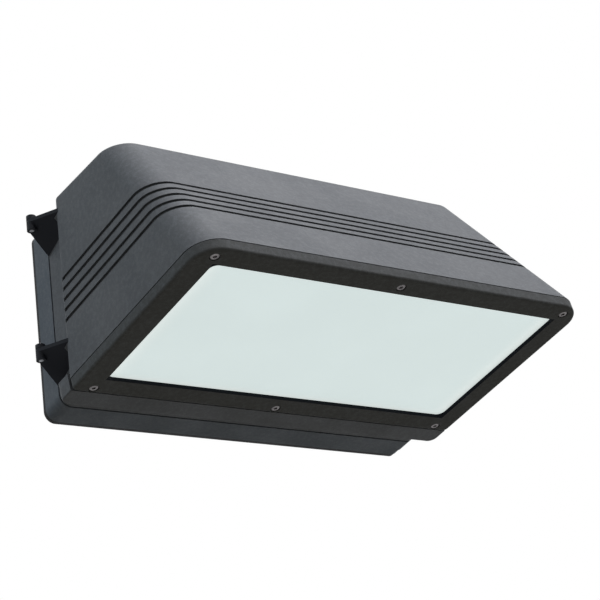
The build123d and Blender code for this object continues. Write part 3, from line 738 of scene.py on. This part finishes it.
def islands(node: Object, names: tuple[str, ...]) -> list[Object]:
    """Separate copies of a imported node's loose solids, from left to right.

    Args:
        node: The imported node.
        names: Names of the copies, as many as there are solids.

    Returns:
        The copies, with merged points.
    """
    whole = bmesh.new()
    whole.from_mesh(node.data)
    bmesh.ops.remove_doubles(whole, verts=whole.verts, dist=SAME_POINT)
    groups, left = [], set(whole.verts)
    while left:
        group, front = set(), [min(left, key=lambda v: v.index)]
        while front:
            point = front.pop()
            if point not in group:
                group.add(point)
                front.extend(edge.other_vert(point) for edge in point.link_edges)
        left -= group
        groups.append(group)
    groups.sort(key=lambda g: max(v.co.x for v in g))
    made = []
    for name, group in zip(names, groups):
        part = whole.copy()
        part.verts.ensure_lookup_table()
        keep = {v.index for v in group}
        spare = [v for v in part.verts if v.index not in keep]
        bmesh.ops.delete(part, geom=spare, context="VERTS")
        made.append(finished_object(name, part))
    whole.free()
    return made


# ---------------------------------------------------------------- Geometry Nodes
class GeometryTree(NodeGraph):
    """Geometry Nodes tree that ends in Realize Instances and Set Material."""

    TITLE: str
    SIZES: dict[str, str]

    def __init__(self) -> None:
        """Open the tree with its named inputs, lay out its nodes and close it."""
        super().__init__(bpy.data.node_groups.new(self.TITLE, "GeometryNodeTree"))
        face = self.tree.interface
        for label, kind in {"Geometry": "Geometry", **self.SIZES, "Material": "Material"}.items():
            face.new_socket(label, in_out="INPUT", socket_type=f"NodeSocket{kind}")
        face.new_socket("Geometry", in_out="OUTPUT", socket_type="NodeSocketGeometry")
        given = self.node("NodeGroupInput").outputs
        real = self.output("GeometryNodeRealizeInstances", {0: self.build(given)})
        inputs = {"Geometry": real, "Material": given["Material"]}
        self.node("NodeGroupOutput", {0: self.output("GeometryNodeSetMaterial", inputs)})

    def build(self, given: Sockets) -> NodeSocket:
        """Lay out the nodes from the inputs to a geometry; each tree has its own."""
        raise NotImplementedError

    def circle(self, resolution: int, radius: NodeSocket) -> NodeSocket:
        """Curve circle in the plane Z = 0."""
        inputs = {"Resolution": resolution, "Radius": radius}
        return self.output("GeometryNodeCurvePrimitiveCircle", inputs)

    def laid(self, geometry: NodeSocket, place: NodeSocket, turn: float) -> NodeSocket:
        """Geometry turned about X and moved to its place."""
        inputs = {"Geometry": geometry, "Translation": place, "Rotation": (turn, 0.0, 0.0)}
        return self.output("GeometryNodeTransform", inputs)

    def grow(self, name: str, values: dict, points: list[Vector] | None = None) -> Object:
        """Run the tree once and keep its result as a plain mesh.

        Args:
            name: Name of the new object.
            values: Input names with their values.
            points: Places that the tree starts from, if it needs any.

        Returns:
            The object, with no modifier left on it.
        """
        data = bpy.data.meshes.new(name)
        data.from_pydata([tuple(p) for p in points or [Vector()]], [], [])
        host = linked_object(name, data)
        modifier = host.modifiers.new("nodes", "NODES")
        modifier.node_group = self.tree
        items = [item for item in self.tree.interface.items_tree if item.in_out == "INPUT"]
        sockets = {item.name: item.identifier for item in items}
        for label, value in values.items():
            modifier[sockets[label]] = value
        bpy.context.view_layer.update()
        seen = host.evaluated_get(bpy.context.evaluated_depsgraph_get())
        result = bpy.data.meshes.new_from_object(seen)
        host.modifiers.clear()
        host.data = result
        result.name = name
        return host


class RepeatTree(GeometryTree):
    """One template on every point, all turned alike."""

    TITLE = "repeat_on_points"
    SIZES = {"Template": "Object", "Turn": "Rotation"}

    def build(self, given: Sockets) -> NodeSocket:
        """Instance the template on the host's points.

        Args:
            given: The tree's inputs.

        Returns:
            The instances.
        """
        source = self.node("GeometryNodeObjectInfo", {"Object": given["Template"]})
        inputs = {
            "Points": given["Geometry"],
            "Instance": source.outputs["Geometry"],
            "Rotation": given["Turn"],
        }
        return self.output("GeometryNodeInstanceOnPoints", inputs)


class ThreadTree(GeometryTree):
    """Raised screw thread that winds about an axis along Y."""

    TITLE = "screw_thread"
    SIZES = {**dict.fromkeys(("Radius", "Pitch", "Turns", "Ridge"), "Float"), "Start": "Vector"}
    STEPS_A_TURN = 24
    RIDGE_SIDES = 4

    def build(self, given: Sockets) -> NodeSocket:
        """Sweep a four-sided ridge along a helix and lay it along Y.

        Args:
            given: The tree's inputs.

        Returns:
            The thread.
        """
        inputs = {
            "Resolution": self.STEPS_A_TURN,
            "Rotations": given["Turns"],
            "Start Radius": given["Radius"],
            "End Radius": given["Radius"],
            "Height": self.times(given["Pitch"], given["Turns"]),
        }
        helix = self.output("GeometryNodeCurveSpiral", inputs)
        ridge = self.circle(self.RIDGE_SIDES, given["Ridge"])
        inputs = {"Curve": helix, "Profile Curve": ridge, "Fill Caps": True}
        sweep = self.output("GeometryNodeCurveToMesh", inputs)
        return self.laid(sweep, given["Start"], -QUARTER_TURN)


class BeadTree(GeometryTree):
    """Round bead along a rounded trapezium that stands in a plane of constant Y."""

    TITLE = "perimeter_bead"
    SHAPE = ("Bottom Width", "Top Width", "Height")
    SIZES = {**dict.fromkeys((*SHAPE, "Corner", "Bead"), "Float"), "Centre": "Vector"}
    CORNER_STEPS = 8
    BEAD_SIDES = 10

    def build(self, given: Sockets) -> NodeSocket:
        """Fillet a trapezium, sweep a circle along it and stand it up.

        Args:
            given: The tree's inputs.

        Returns:
            The bead.
        """
        inputs = {**{label: given[label] for label in self.SHAPE}, "Offset": 0.0}
        shape = self.output("GeometryNodeCurvePrimitiveQuadrilateral", inputs, mode="TRAPEZOID")
        inputs = {"Curve": shape, "Radius": given["Corner"], "Count": self.CORNER_STEPS}
        rounded = self.output("GeometryNodeFilletCurve", inputs, mode="POLY")
        inputs = {"Curve": rounded, "Profile Curve": self.circle(self.BEAD_SIDES, given["Bead"])}
        sweep = self.output("GeometryNodeCurveToMesh", inputs)
        smooth = self.output("GeometryNodeSetShadeSmooth", {"Geometry": sweep})
        return self.laid(smooth, given["Centre"], QUARTER_TURN)


class RidgeTree(GeometryTree):
    """Straight round-topped ridges set in a circle about an axis along Y."""

    TITLE = "ring_of_ridges"
    SIZES = {
        "Count": "Int",
        **dict.fromkeys(("Radius", "Ridge", "Length"), "Float"),
        "Centre": "Vector",
    }
    CIRCLE_STEPS = 64
    RIDGE_SIDES = 8

    def build(self, given: Sockets) -> NodeSocket:
        """Instance short rods on a circle and lay its axis along Y.

        Args:
            given: The tree's inputs.

        Returns:
            The ring of rods.
        """
        inputs = {"Curve": self.circle(self.CIRCLE_STEPS, given["Radius"]), "Count": given["Count"]}
        points = self.node("GeometryNodeCurveToPoints", inputs, mode="COUNT").outputs["Points"]
        inputs = {"Vertices": self.RIDGE_SIDES, "Radius": given["Ridge"], "Depth": given["Length"]}
        rod = self.output("GeometryNodeMeshCylinder", inputs)
        ring = self.output("GeometryNodeInstanceOnPoints", {"Points": points, "Instance": rod})
        return self.laid(ring, given["Centre"], -QUARTER_TURN)


# ---------------------------------------------------------------- sub-assemblies
@dataclass
class Workshop:
    """What the sub-assemblies share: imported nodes, effects, materials and node trees."""

    HOUSING = "housing"

    nodes: dict[str, Object]
    effects: SharedEffects = field(default_factory=SharedEffects)
    materials: dict[str, Material] = field(default_factory=dict)
    repeat: RepeatTree = field(default_factory=RepeatTree)
    thread: ThreadTree = field(default_factory=ThreadTree)
    bead: BeadTree = field(default_factory=BeadTree)
    ridges: RidgeTree = field(default_factory=RidgeTree)

    def material(self, finish: Finish) -> Material:
        """Look up a finish's material, and build it on first use.

        Args:
            finish: The finish.

        Returns:
            Its material.
        """
        if finish.name not in self.materials:
            self.materials[finish.name] = finish.material(self.effects)
        return self.materials[finish.name]

    def coat(self, thing: Object, finish: Finish) -> None:
        """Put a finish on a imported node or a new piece.

        Args:
            thing: The node's or the piece's object.
            finish: The finish.
        """
        thing.data.materials.clear()
        thing.data.materials.append(self.material(finish))
        log.info("%s wears %s", thing.name, finish.name)

    def dress(self, slot: Slot, *names: str) -> None:
        """Put a slot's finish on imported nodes."""
        for name in names:
            self.coat(self.nodes[name], slot.value)

    def dress_piece(self, piece: Object, finish: Finish, body: str) -> None:
        """Give a new piece its finish and the body that it rides on.

        Args:
            piece: The new piece.
            finish: The finish that it shows.
            body: Name of the body.
        """
        self.coat(piece, finish)
        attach(piece, body)
        log.info("piece %s on body %s, %d faces", piece.name, body, len(piece.data.polygons))

    def grow(
        self, tree: GeometryTree, name: str, values: dict, slot: Slot, body: str = HOUSING
    ) -> None:
        """Grow a tree once as a piece in its slot's finish.

        Args:
            tree: The node tree.
            name: Name of the piece.
            values: Input names of the tree with their values.
            slot: The record's slot of the piece.
            body: Name of the body that it rides on.
        """
        values = {**values, "Material": self.material(slot.value)}
        self.dress_piece(tree.grow(name, values), slot.value, body)

    def copies(
        self,
        name: str,
        template: Object,
        points: list[Vector],
        slot: Slot,
        finish: Finish | None = None,
        turn: Triple = LENS_TURN,
    ) -> Object:
        """Repeat a template as one piece on the housing, and delete it.

        Args:
            name: Name of the piece.
            template: Object to repeat, built round the origin.
            points: Places in the object's frame.
            slot: The record's slot of the piece.
            finish: Finish of all copies, if it isn't the slot's own.
            turn: Turn of each copy as Euler angles.

        Returns:
            The piece, one plain mesh with all copies.
        """
        finish = finish or slot.value
        values = {"Template": template, "Turn": turn, "Material": self.material(finish)}
        piece = self.repeat.grow(name, values, points)
        bpy.data.objects.remove(template)
        self.dress_piece(piece, finish, self.HOUSING)
        return piece


@dataclass
class Castings:
    """The three powder-coated castings: housing, back box and door frame."""

    # Painted light: the box's colour is tinted bluish and lifted, standing for bluish fill light on
    # its side.
    box_painted_blue_light: Colour = (0.97, 1.06, 1.15)
    box_sheen: float = 0.14
    # Painted shade: the door frame's colour is darker and warmer, standing for dim warm light from
    # below; its sheen is lowered too.
    frame_painted_shade: Colour = (0.96, 0.94, 0.88)
    frame_sheen: float = 0.025

    def build(self, shop: Workshop) -> None:
        """Dress the castings; box and door frame get copies of the coat tinted with painted light
        and shade.

        Args:
            shop: The shared nodes, finishes and trees.
        """
        coat = Slot.powder_coat.value
        shop.dress(Slot.powder_coat, "housing_shell")
        painted_light_copies = {
            "back_box": (self.box_painted_blue_light, self.box_sheen),
            "door_frame": (self.frame_painted_shade, self.frame_sheen),
        }
        # Copies of the coat tinted by painted light and shade.
        for node, (shade, sheen) in painted_light_copies.items():
            colour = tuple(c * s for c, s in zip(coat.colour, shade))
            painted_light_coat = replace(coat, name=f"{coat.name}_{node}", colour=colour, specular=sheen)
            shop.coat(shop.nodes[node], painted_light_coat)


@dataclass
class LensDoor:
    """Lens, its gasket and the six socket screws of the door frame."""

    screw_side: float = 0.165
    screw_rows: Span = (0.010, 0.1755)
    head_radius: float = 0.0037
    shank_radius: float = 0.00195
    socket_radius: float = 0.0015

    def screw(self) -> Object:
        """One socket screw with a low domed head that looks down, in lens coordinates.

        Returns:
            The screw, its head on the origin.
        """
        head, shank, socket = self.head_radius, self.shank_radius, self.socket_radius
        rings = (
            Ring(socket, 0.0015, Outline.HEX),
            Ring(socket, 0.0004, Outline.HEX),
            Ring(socket * 1.25, 0.0002),
            Ring(head * 0.72, 0.00025),
            Ring(head * 0.90, 0.0006),
            Ring(head, 0.0011),
            Ring(head, 0.0022),
            Ring(shank, 0.0022),
            Ring(shank, 0.0190),
            Ring(shank * 0.5, 0.0200),
        )
        return turned_object("frame_screw", rings)

    def build(self, shop: Workshop) -> None:
        """Dress the lens and set the screws.

        Args:
            shop: The shared nodes, finishes and trees.
        """
        shop.dress(Slot.diffuser, "lens")
        shop.dress(Slot.gasket_rubber, "lens_gasket")
        sides = (-self.screw_side, 0.0, self.screw_side)
        places = [lens_point(x, row, 0.0) for row in self.screw_rows for x in sides]
        # The door screws wear the darker painted-shade copy of the zinc.
        screws = shop.copies("door_screws", self.screw(), places, Slot.zinc_steel, SHADED_ZINC)
        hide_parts("frame_screws")


@dataclass
class HingeAndLatch:
    """Hinge pins on the left and captive screws on the right."""

    thread_length: float = 0.0085
    thread_pitch: float = 0.001
    thread_radius: float = 0.0029
    tip_margin: float = 0.0008
    ridge: float = 0.0003
    grip_radius: float = 0.00595
    grip_count: int = 36
    grip_length: float = 0.0030
    grip_middle: float = 0.0029

    def build(self, shop: Workshop) -> None:
        """Dress pins and screws, and cut threads and grips on the captive screws.

        Args:
            shop: The shared nodes, finishes and trees.
        """
        shop.dress(Slot.pin_steel, "hinge_pin_lower", "hinge_pin_upper")
        for place in ("lower", "upper"):
            node, body = f"captive_screw_{place}", f"captive_{place}"
            shop.dress(Slot.zinc_steel, node)
            low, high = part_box(node)
            axis = (low + high) / 2
            thread = {
                "Radius": self.thread_radius,
                "Pitch": self.thread_pitch,
                "Turns": self.thread_length / self.thread_pitch,
                "Ridge": self.ridge,
                "Start": Vector((axis.x, high.y - self.thread_length - self.tip_margin, axis.z)),
            }
            grip = {
                "Count": self.grip_count,
                "Radius": self.grip_radius,
                "Ridge": self.ridge,
                "Length": self.grip_length,
                "Centre": Vector((axis.x, low.y + self.grip_middle, axis.z)),
            }
            shop.grow(shop.thread, f"captive_thread_{place}", thread, Slot.zinc_steel, body)
            shop.grow(shop.ridges, f"captive_grip_{place}", grip, Slot.zinc_steel, body)


@dataclass
class WallSide:
    """Wall gasket, seal of the housing, wire entry and ground screw."""

    seal_inset: float = 0.0020
    corner: float = 0.0058
    bead: float = 0.0006
    sunk_share: float = 0.6

    def build(self, shop: Workshop) -> None:
        """Dress the wall side and lay the bead on the seal.

        Args:
            shop: The shared nodes, finishes and trees.
        """
        shop.dress(Slot.gasket_rubber, "wall_gasket", "housing_seal", "entry_grommet")
        shop.dress(Slot.ground_green, "ground_screw")
        low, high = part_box("housing_seal")
        tall = high.z - low.z
        bottom = high.x - low.x - 2 * self.seal_inset
        values = {
            "Bottom Width": bottom,
            "Top Width": bottom - 2 * tall * math.cos(LENS_TILT) * math.tan(SIDE_FLARE),
            "Height": tall - 2 * self.seal_inset,
            "Corner": self.corner,
            "Bead": self.bead,
            "Centre": Vector((0.0, high.y - self.bead * self.sunk_share, (low.z + high.z) / 2)),
        }
        shop.grow(shop.bead, "seal_bead", values, Slot.gasket_rubber)


@dataclass
class LightEngine:
    """Plate, board, LED packages and the white reflector tray."""

    board_thickness: float = 0.0016
    columns: int = 12
    rows: int = 4
    column_pitch: float = 0.020
    row_pitch: float = 0.018
    package: float = 0.00175
    dome: float = 0.0014
    dome_base: float = 0.00045
    dome_rise: float = 0.0005
    dome_steps: int = 5
    dome_closing: float = 0.9

    def led_places(self) -> list[Vector]:
        """Places of the LEDs on the underside of the board.

        Returns:
            The places, row by row.
        """
        level = PLATE_BOTTOM - self.board_thickness
        across = [(k - (self.columns - 1) / 2) * self.column_pitch for k in range(self.columns)]
        along = [(k - (self.rows - 1) / 2) * self.row_pitch for k in range(self.rows)]
        return [lens_point(x, ENGINE_CENTRE + run, level) for run in along for x in across]

    def package_body(self) -> Object:
        """White square package that hangs from the board.

        Returns:
            The package, its back on the origin.
        """
        steps = ((1.0, 0.0), (1.0, -0.0004), (0.93, -0.0005))
        rings = tuple(Ring(self.package * share, z, Outline.SQUARE) for share, z in steps)
        return turned_object("led_package", rings)

    def dome_body(self) -> Object:
        """Low yellow dome in the middle of the package.

        Returns:
            The dome, under the origin.
        """
        rings = []
        for k in range(self.dome_steps + 1):
            angle = QUARTER_TURN * k / self.dome_steps * self.dome_closing
            level = -self.dome_base - self.dome_rise * math.sin(angle)
            rings.append(Ring(self.dome * math.cos(angle), level))
        return turned_object("led_dome", tuple(rings))

    def build(self, shop: Workshop) -> None:
        """Dress the plates and hang the LEDs.

        Args:
            shop: The shared nodes, finishes and trees.
        """
        shop.dress(Slot.bare_aluminium, "mounting_plate")
        shop.dress(Slot.board_white, "led_board")
        shop.dress(Slot.reflector_white, "reflector")
        places, slot = self.led_places(), Slot.led_phosphor
        bodies = shop.copies("led_packages", self.package_body(), places, slot, CERAMIC)
        domes = shop.copies("led_domes", self.dome_body(), places, slot)
        for piece in (bodies, domes):
            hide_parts("led_chips")


@dataclass
class ControlGear:
    """Driver on its bracket, terminal block, wires and their screws."""

    bracket: float = 0.0015
    tab: float = 0.002
    driver_half: float = 0.065
    driver_height: float = 0.032
    tab_screw: float = 0.070
    plate_screw_x: float = 0.152
    plate_screw_run: float = 0.042
    plate_screw_length: float = 0.009
    terminal_x: float = 0.112
    terminal_pitch: float = 0.034 / 3
    terminal_height: float = 0.014
    terminal_sink: float = 0.0055
    terminal_head: float = 0.0023
    terminal_shank: float = 0.0012
    terminal_screw_length: float = 0.0004
    head_radius: float = 0.0032
    head_height: float = 0.002
    shank_radius: float = 0.0017
    lead_pitch: float = 0.006
    led_lead_half: float = 0.0016

    def pan_screw(
        self, name: str, radius: float, shank: float, length: float, down: bool = False
    ) -> Object:
        """Socket pan screw round the origin, its seat at height 0.

        Args:
            name: Name of the object.
            radius: Radius of the head.
            shank: Radius of the shank.
            length: Length of the shank.
            down: True if the head hangs below its seat.

        Returns:
            The screw.
        """
        up = -1.0 if down else 1.0
        top = up * self.head_height
        rings = (
            Ring(radius * 0.40, top * 0.35, Outline.HEX),
            Ring(radius * 0.40, top * 0.92, Outline.HEX),
            Ring(radius * 0.52, top),
            Ring(radius * 0.80, top * 0.90),
            Ring(radius * 0.95, top * 0.62),
            Ring(radius, top * 0.30),
            Ring(radius, 0.0),
            Ring(shank, 0.0),
            Ring(shank, -up * length),
        )
        return turned_object(name, rings)

    def bushing(self) -> Object:
        """Wire bushing that stands on a driver end, its axis along Z before it is turned."""
        steps = ((0.0026, 0.0), (0.0026, 0.0008), (0.0022, 0.0014), (0.0013, 0.0016))
        return turned_object("lead_bushing", tuple(Ring(*step) for step in steps))

    def build(self, shop: Workshop) -> None:
        """Dress the gear, set its screws and colour its wires.

        Args:
            shop: The shared nodes, finishes and trees.
        """
        shop.dress(Slot.bracket_steel, "driver_bracket")
        shop.dress(Slot.driver_case, "driver_case")
        shop.dress(Slot.terminal_nylon, "terminal_block")
        self.build_screws(shop)
        self.build_wires(shop)

    def build_screws(self, shop: Workshop) -> None:
        """Set the screws of plate, driver and terminals.

        Args:
            shop: The shared nodes, finishes and trees.
        """
        zinc, head, shank = Slot.zinc_steel, self.head_radius, self.shank_radius
        rows = [ENGINE_CENTRE + side * self.plate_screw_run for side in (-1, 1)]
        sides = [side * self.plate_screw_x for side in (-1, 1)]
        places = [lens_point(x, run, PLATE_BOTTOM) for x in sides for run in rows]
        screw = self.pan_screw("plate_screw", head, shank, self.plate_screw_length, down=True)
        plate = shop.copies("plate_pan_screws", screw, places, zinc)
        sheets = self.bracket + self.tab
        seat = PLATE_TOP + sheets
        places = [lens_point(side * self.tab_screw, ENGINE_CENTRE, seat) for side in (-1, 1)]
        screw = self.pan_screw("driver_screw", head, shank, sheets)
        driver = shop.copies("driver_pan_screws", screw, places, zinc)
        seat = PLATE_TOP + self.terminal_height - self.terminal_sink
        ways = [self.terminal_x + way * self.terminal_pitch for way in (-1, 0, 1)]
        places = [lens_point(x, ENGINE_CENTRE, seat) for x in ways]
        head, shank = self.terminal_head, self.terminal_shank
        screw = self.pan_screw("terminal_screw", head, shank, self.terminal_screw_length)
        shop.copies("terminal_screws", screw, places, zinc)
        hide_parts("plate_screws")
        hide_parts("driver_screws")

    def build_wires(self, shop: Workshop) -> None:
        """Give each wire its colour and a bushing where it leaves the driver.

        Args:
            shop: The shared nodes, finishes and trees.
        """
        slot = Slot.lead_insulation
        black = slot.value
        mains = {"lead_live": black, "lead_neutral": WHITE_WIRE, "lead_ground": GREEN_WIRE}
        board = {"lead_led_minus": black, "lead_led_plus": RED_WIRE}
        for node, wires in {"input_leads": mains, "led_leads": board}.items():
            for piece, finish in zip(islands(shop.nodes[node], tuple(wires)), wires.values()):
                shop.dress_piece(piece, finish, shop.HOUSING)
                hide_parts(node)
        level = PLATE_TOP + self.bracket + self.driver_height / 2
        ends = (
            ("input_bushings", 1, (-self.lead_pitch, 0.0, self.lead_pitch)),
            ("led_bushings", -1, (-self.led_lead_half, self.led_lead_half)),
        )
        for name, side, runs in ends:
            x, turn = side * self.driver_half, (0.0, side * QUARTER_TURN, 0.0)
            places = [lens_point(x, ENGINE_CENTRE + run, level) for run in runs]
            shop.copies(name, self.bushing(), places, Slot.gasket_rubber, turn=turn)


# ---------------------------------------------------------------- studio
@dataclass(frozen=True)
class Lamp:
    """Soft square lamp: where it stands, the side of its square, its watts and its colour."""

    name: str
    place: Triple
    size: float
    power: float
    colour: Colour

    def stand(self, aim: Vector) -> None:
        """Put the lamp up.

        Args:
            aim: The point that it faces.
        """
        data = bpy.data.lights.new(self.name, "AREA")
        data.size, data.energy, data.color = self.size, self.power, self.colour
        lamp = linked_object(self.name, data)
        lamp.location = self.place
        lamp.rotation_euler = (aim - Vector(self.place)).to_track_quat("-Z", "Y").to_euler()


@dataclass(frozen=True)
class Viewpoint:
    """The photograph's camera: its place, its axes, and its lens on a square frame."""

    place: Triple = (-0.9085, -1.1368, -0.6405)
    right: Triple = (0.7887, -0.5868, -0.1836)
    upward: Triple = (-0.1216, -0.4415, 0.8890)
    forward: Triple = (0.6027, 0.6788, 0.4195)
    focal_length: float = 117.49
    sensor_width: float = 36.0
    near: float = 0.05
    far: float = 60.0

    def stand(self) -> None:
        """Put the camera up and make it the scene's."""
        data = bpy.data.cameras.new("camera")
        data.sensor_width, data.lens = self.sensor_width, self.focal_length
        data.clip_start, data.clip_end = self.near, self.far
        axes = (Vector(self.right), Vector(self.upward), -Vector(self.forward))
        camera = linked_object("camera", data)
        camera.matrix_world = Matrix.Translation(self.place) @ Matrix(axes).transposed().to_4x4()
        bpy.context.scene.camera = camera


@dataclass
class Studio:
    """Floor, light, background and camera."""

    floor_level: float = -1.15
    floor_size: float = 14.0
    floor_colour: Colour = (0.20, 0.187, 0.155)
    floor_seen: Colour = (0.84, 0.84, 0.84)
    floor_glow: float = 0.35
    floor_roughness: float = 0.9
    white: Colour = (1.0, 1.0, 1.0)
    ground_tint: Colour = (1.0, 0.94, 0.76)
    sky_tint: Colour = (0.90, 0.95, 1.0)
    ambient: float = 0.33
    ambient_shares: Span = (0.30, 1.5)
    ambient_heights: Span = (-0.3, 0.9)
    tint_heights: Span = (-0.4, 0.3)
    lamps: tuple[Lamp, ...] = (
        Lamp("key", (0.5, -0.9, 1.9), 1.6, 61.0, (0.95, 0.96, 1.0)),
        Lamp("fill", (-0.95, 0.2, 0.55), 0.8, 3.1, (0.72, 0.88, 1.0)),
    )
    lit_middle: Triple = (0.0, -0.12, 0.0)

    def build(self) -> None:
        """Build the whole studio."""
        self.build_floor()
        self.build_world()
        for lamp in self.lamps:
            lamp.stand(Vector(self.lit_middle))
        Viewpoint().stand()

    @staticmethod
    def seen_directly(graph: NodeGraph) -> NodeSocket:
        """One where the camera, a reflection or a clear cover looks straight at the surface.

        Args:
            graph: Graph of the floor or of the world.

        Returns:
            The mask.
        """
        rays = graph.node("ShaderNodeLightPath").outputs
        sharp = graph.math("MAXIMUM", rays["Is Glossy Ray"], rays["Is Transmission Ray"])
        return graph.math("MAXIMUM", rays["Is Camera Ray"], sharp)

    def build_floor(self) -> None:
        """Pale floor that keeps the object's shadow and shows nearly white to the camera."""
        mesh = bmesh.new()
        bmesh.ops.create_grid(mesh, x_segments=1, y_segments=1, size=self.floor_size / 2)
        bmesh.ops.translate(mesh, verts=mesh.verts, vec=(0.0, 0.0, self.floor_level))
        floor = finished_object("studio_floor", mesh)
        material, graph, shader = open_material("pale_floor")
        seen = self.seen_directly(graph)
        inputs = {
            "Base Color": graph.mixed(seen, self.floor_colour, self.floor_seen),
            "Roughness": self.floor_roughness,
            "Emission Color": (*self.white, 1.0),
            "Emission Strength": graph.times(seen, self.floor_glow),
        }
        graph.feed(shader, inputs)
        floor.data.materials.append(material)

    def build_world(self) -> None:
        """White background, and ambient light that is warm from below and cool from above."""
        world = bpy.data.worlds.new("studio")
        bpy.context.scene.world = world
        world.use_nodes = True
        graph = NodeGraph(world.node_tree)
        seen = self.seen_directly(graph)
        up = graph.split(graph.node("ShaderNodeTexCoord").outputs["Generated"])["Z"]
        levels = tuple(self.ambient * share for share in self.ambient_shares)
        sky = graph.scaled(up, self.ambient_heights, levels)
        tint = graph.mixed(graph.scaled(up, self.tint_heights), self.ground_tint, self.sky_tint)
        inputs = {
            "Color": graph.mixed(seen, tint, self.white),
            "Strength": graph.math("MAXIMUM", seen, sky),
        }
        graph.feed(world.node_tree.nodes["Background"], inputs)


def main() -> None:
    """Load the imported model, build every sub-assembly in order and set the studio."""
    logging.basicConfig(level=logging.INFO, format="%(message)s")
    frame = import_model()
    shop = Workshop(frame["nodes"])
    for part in (Castings(), LensDoor(), HingeAndLatch(), WallSide(), LightEngine(), ControlGear()):
        log.info("sub-assembly %s", type(part).__name__)
        part.build(shop)
    Studio().build()
    scene = bpy.context.scene
    scene.view_settings.view_transform = "Standard"


if __name__ == "__main__":
    main()
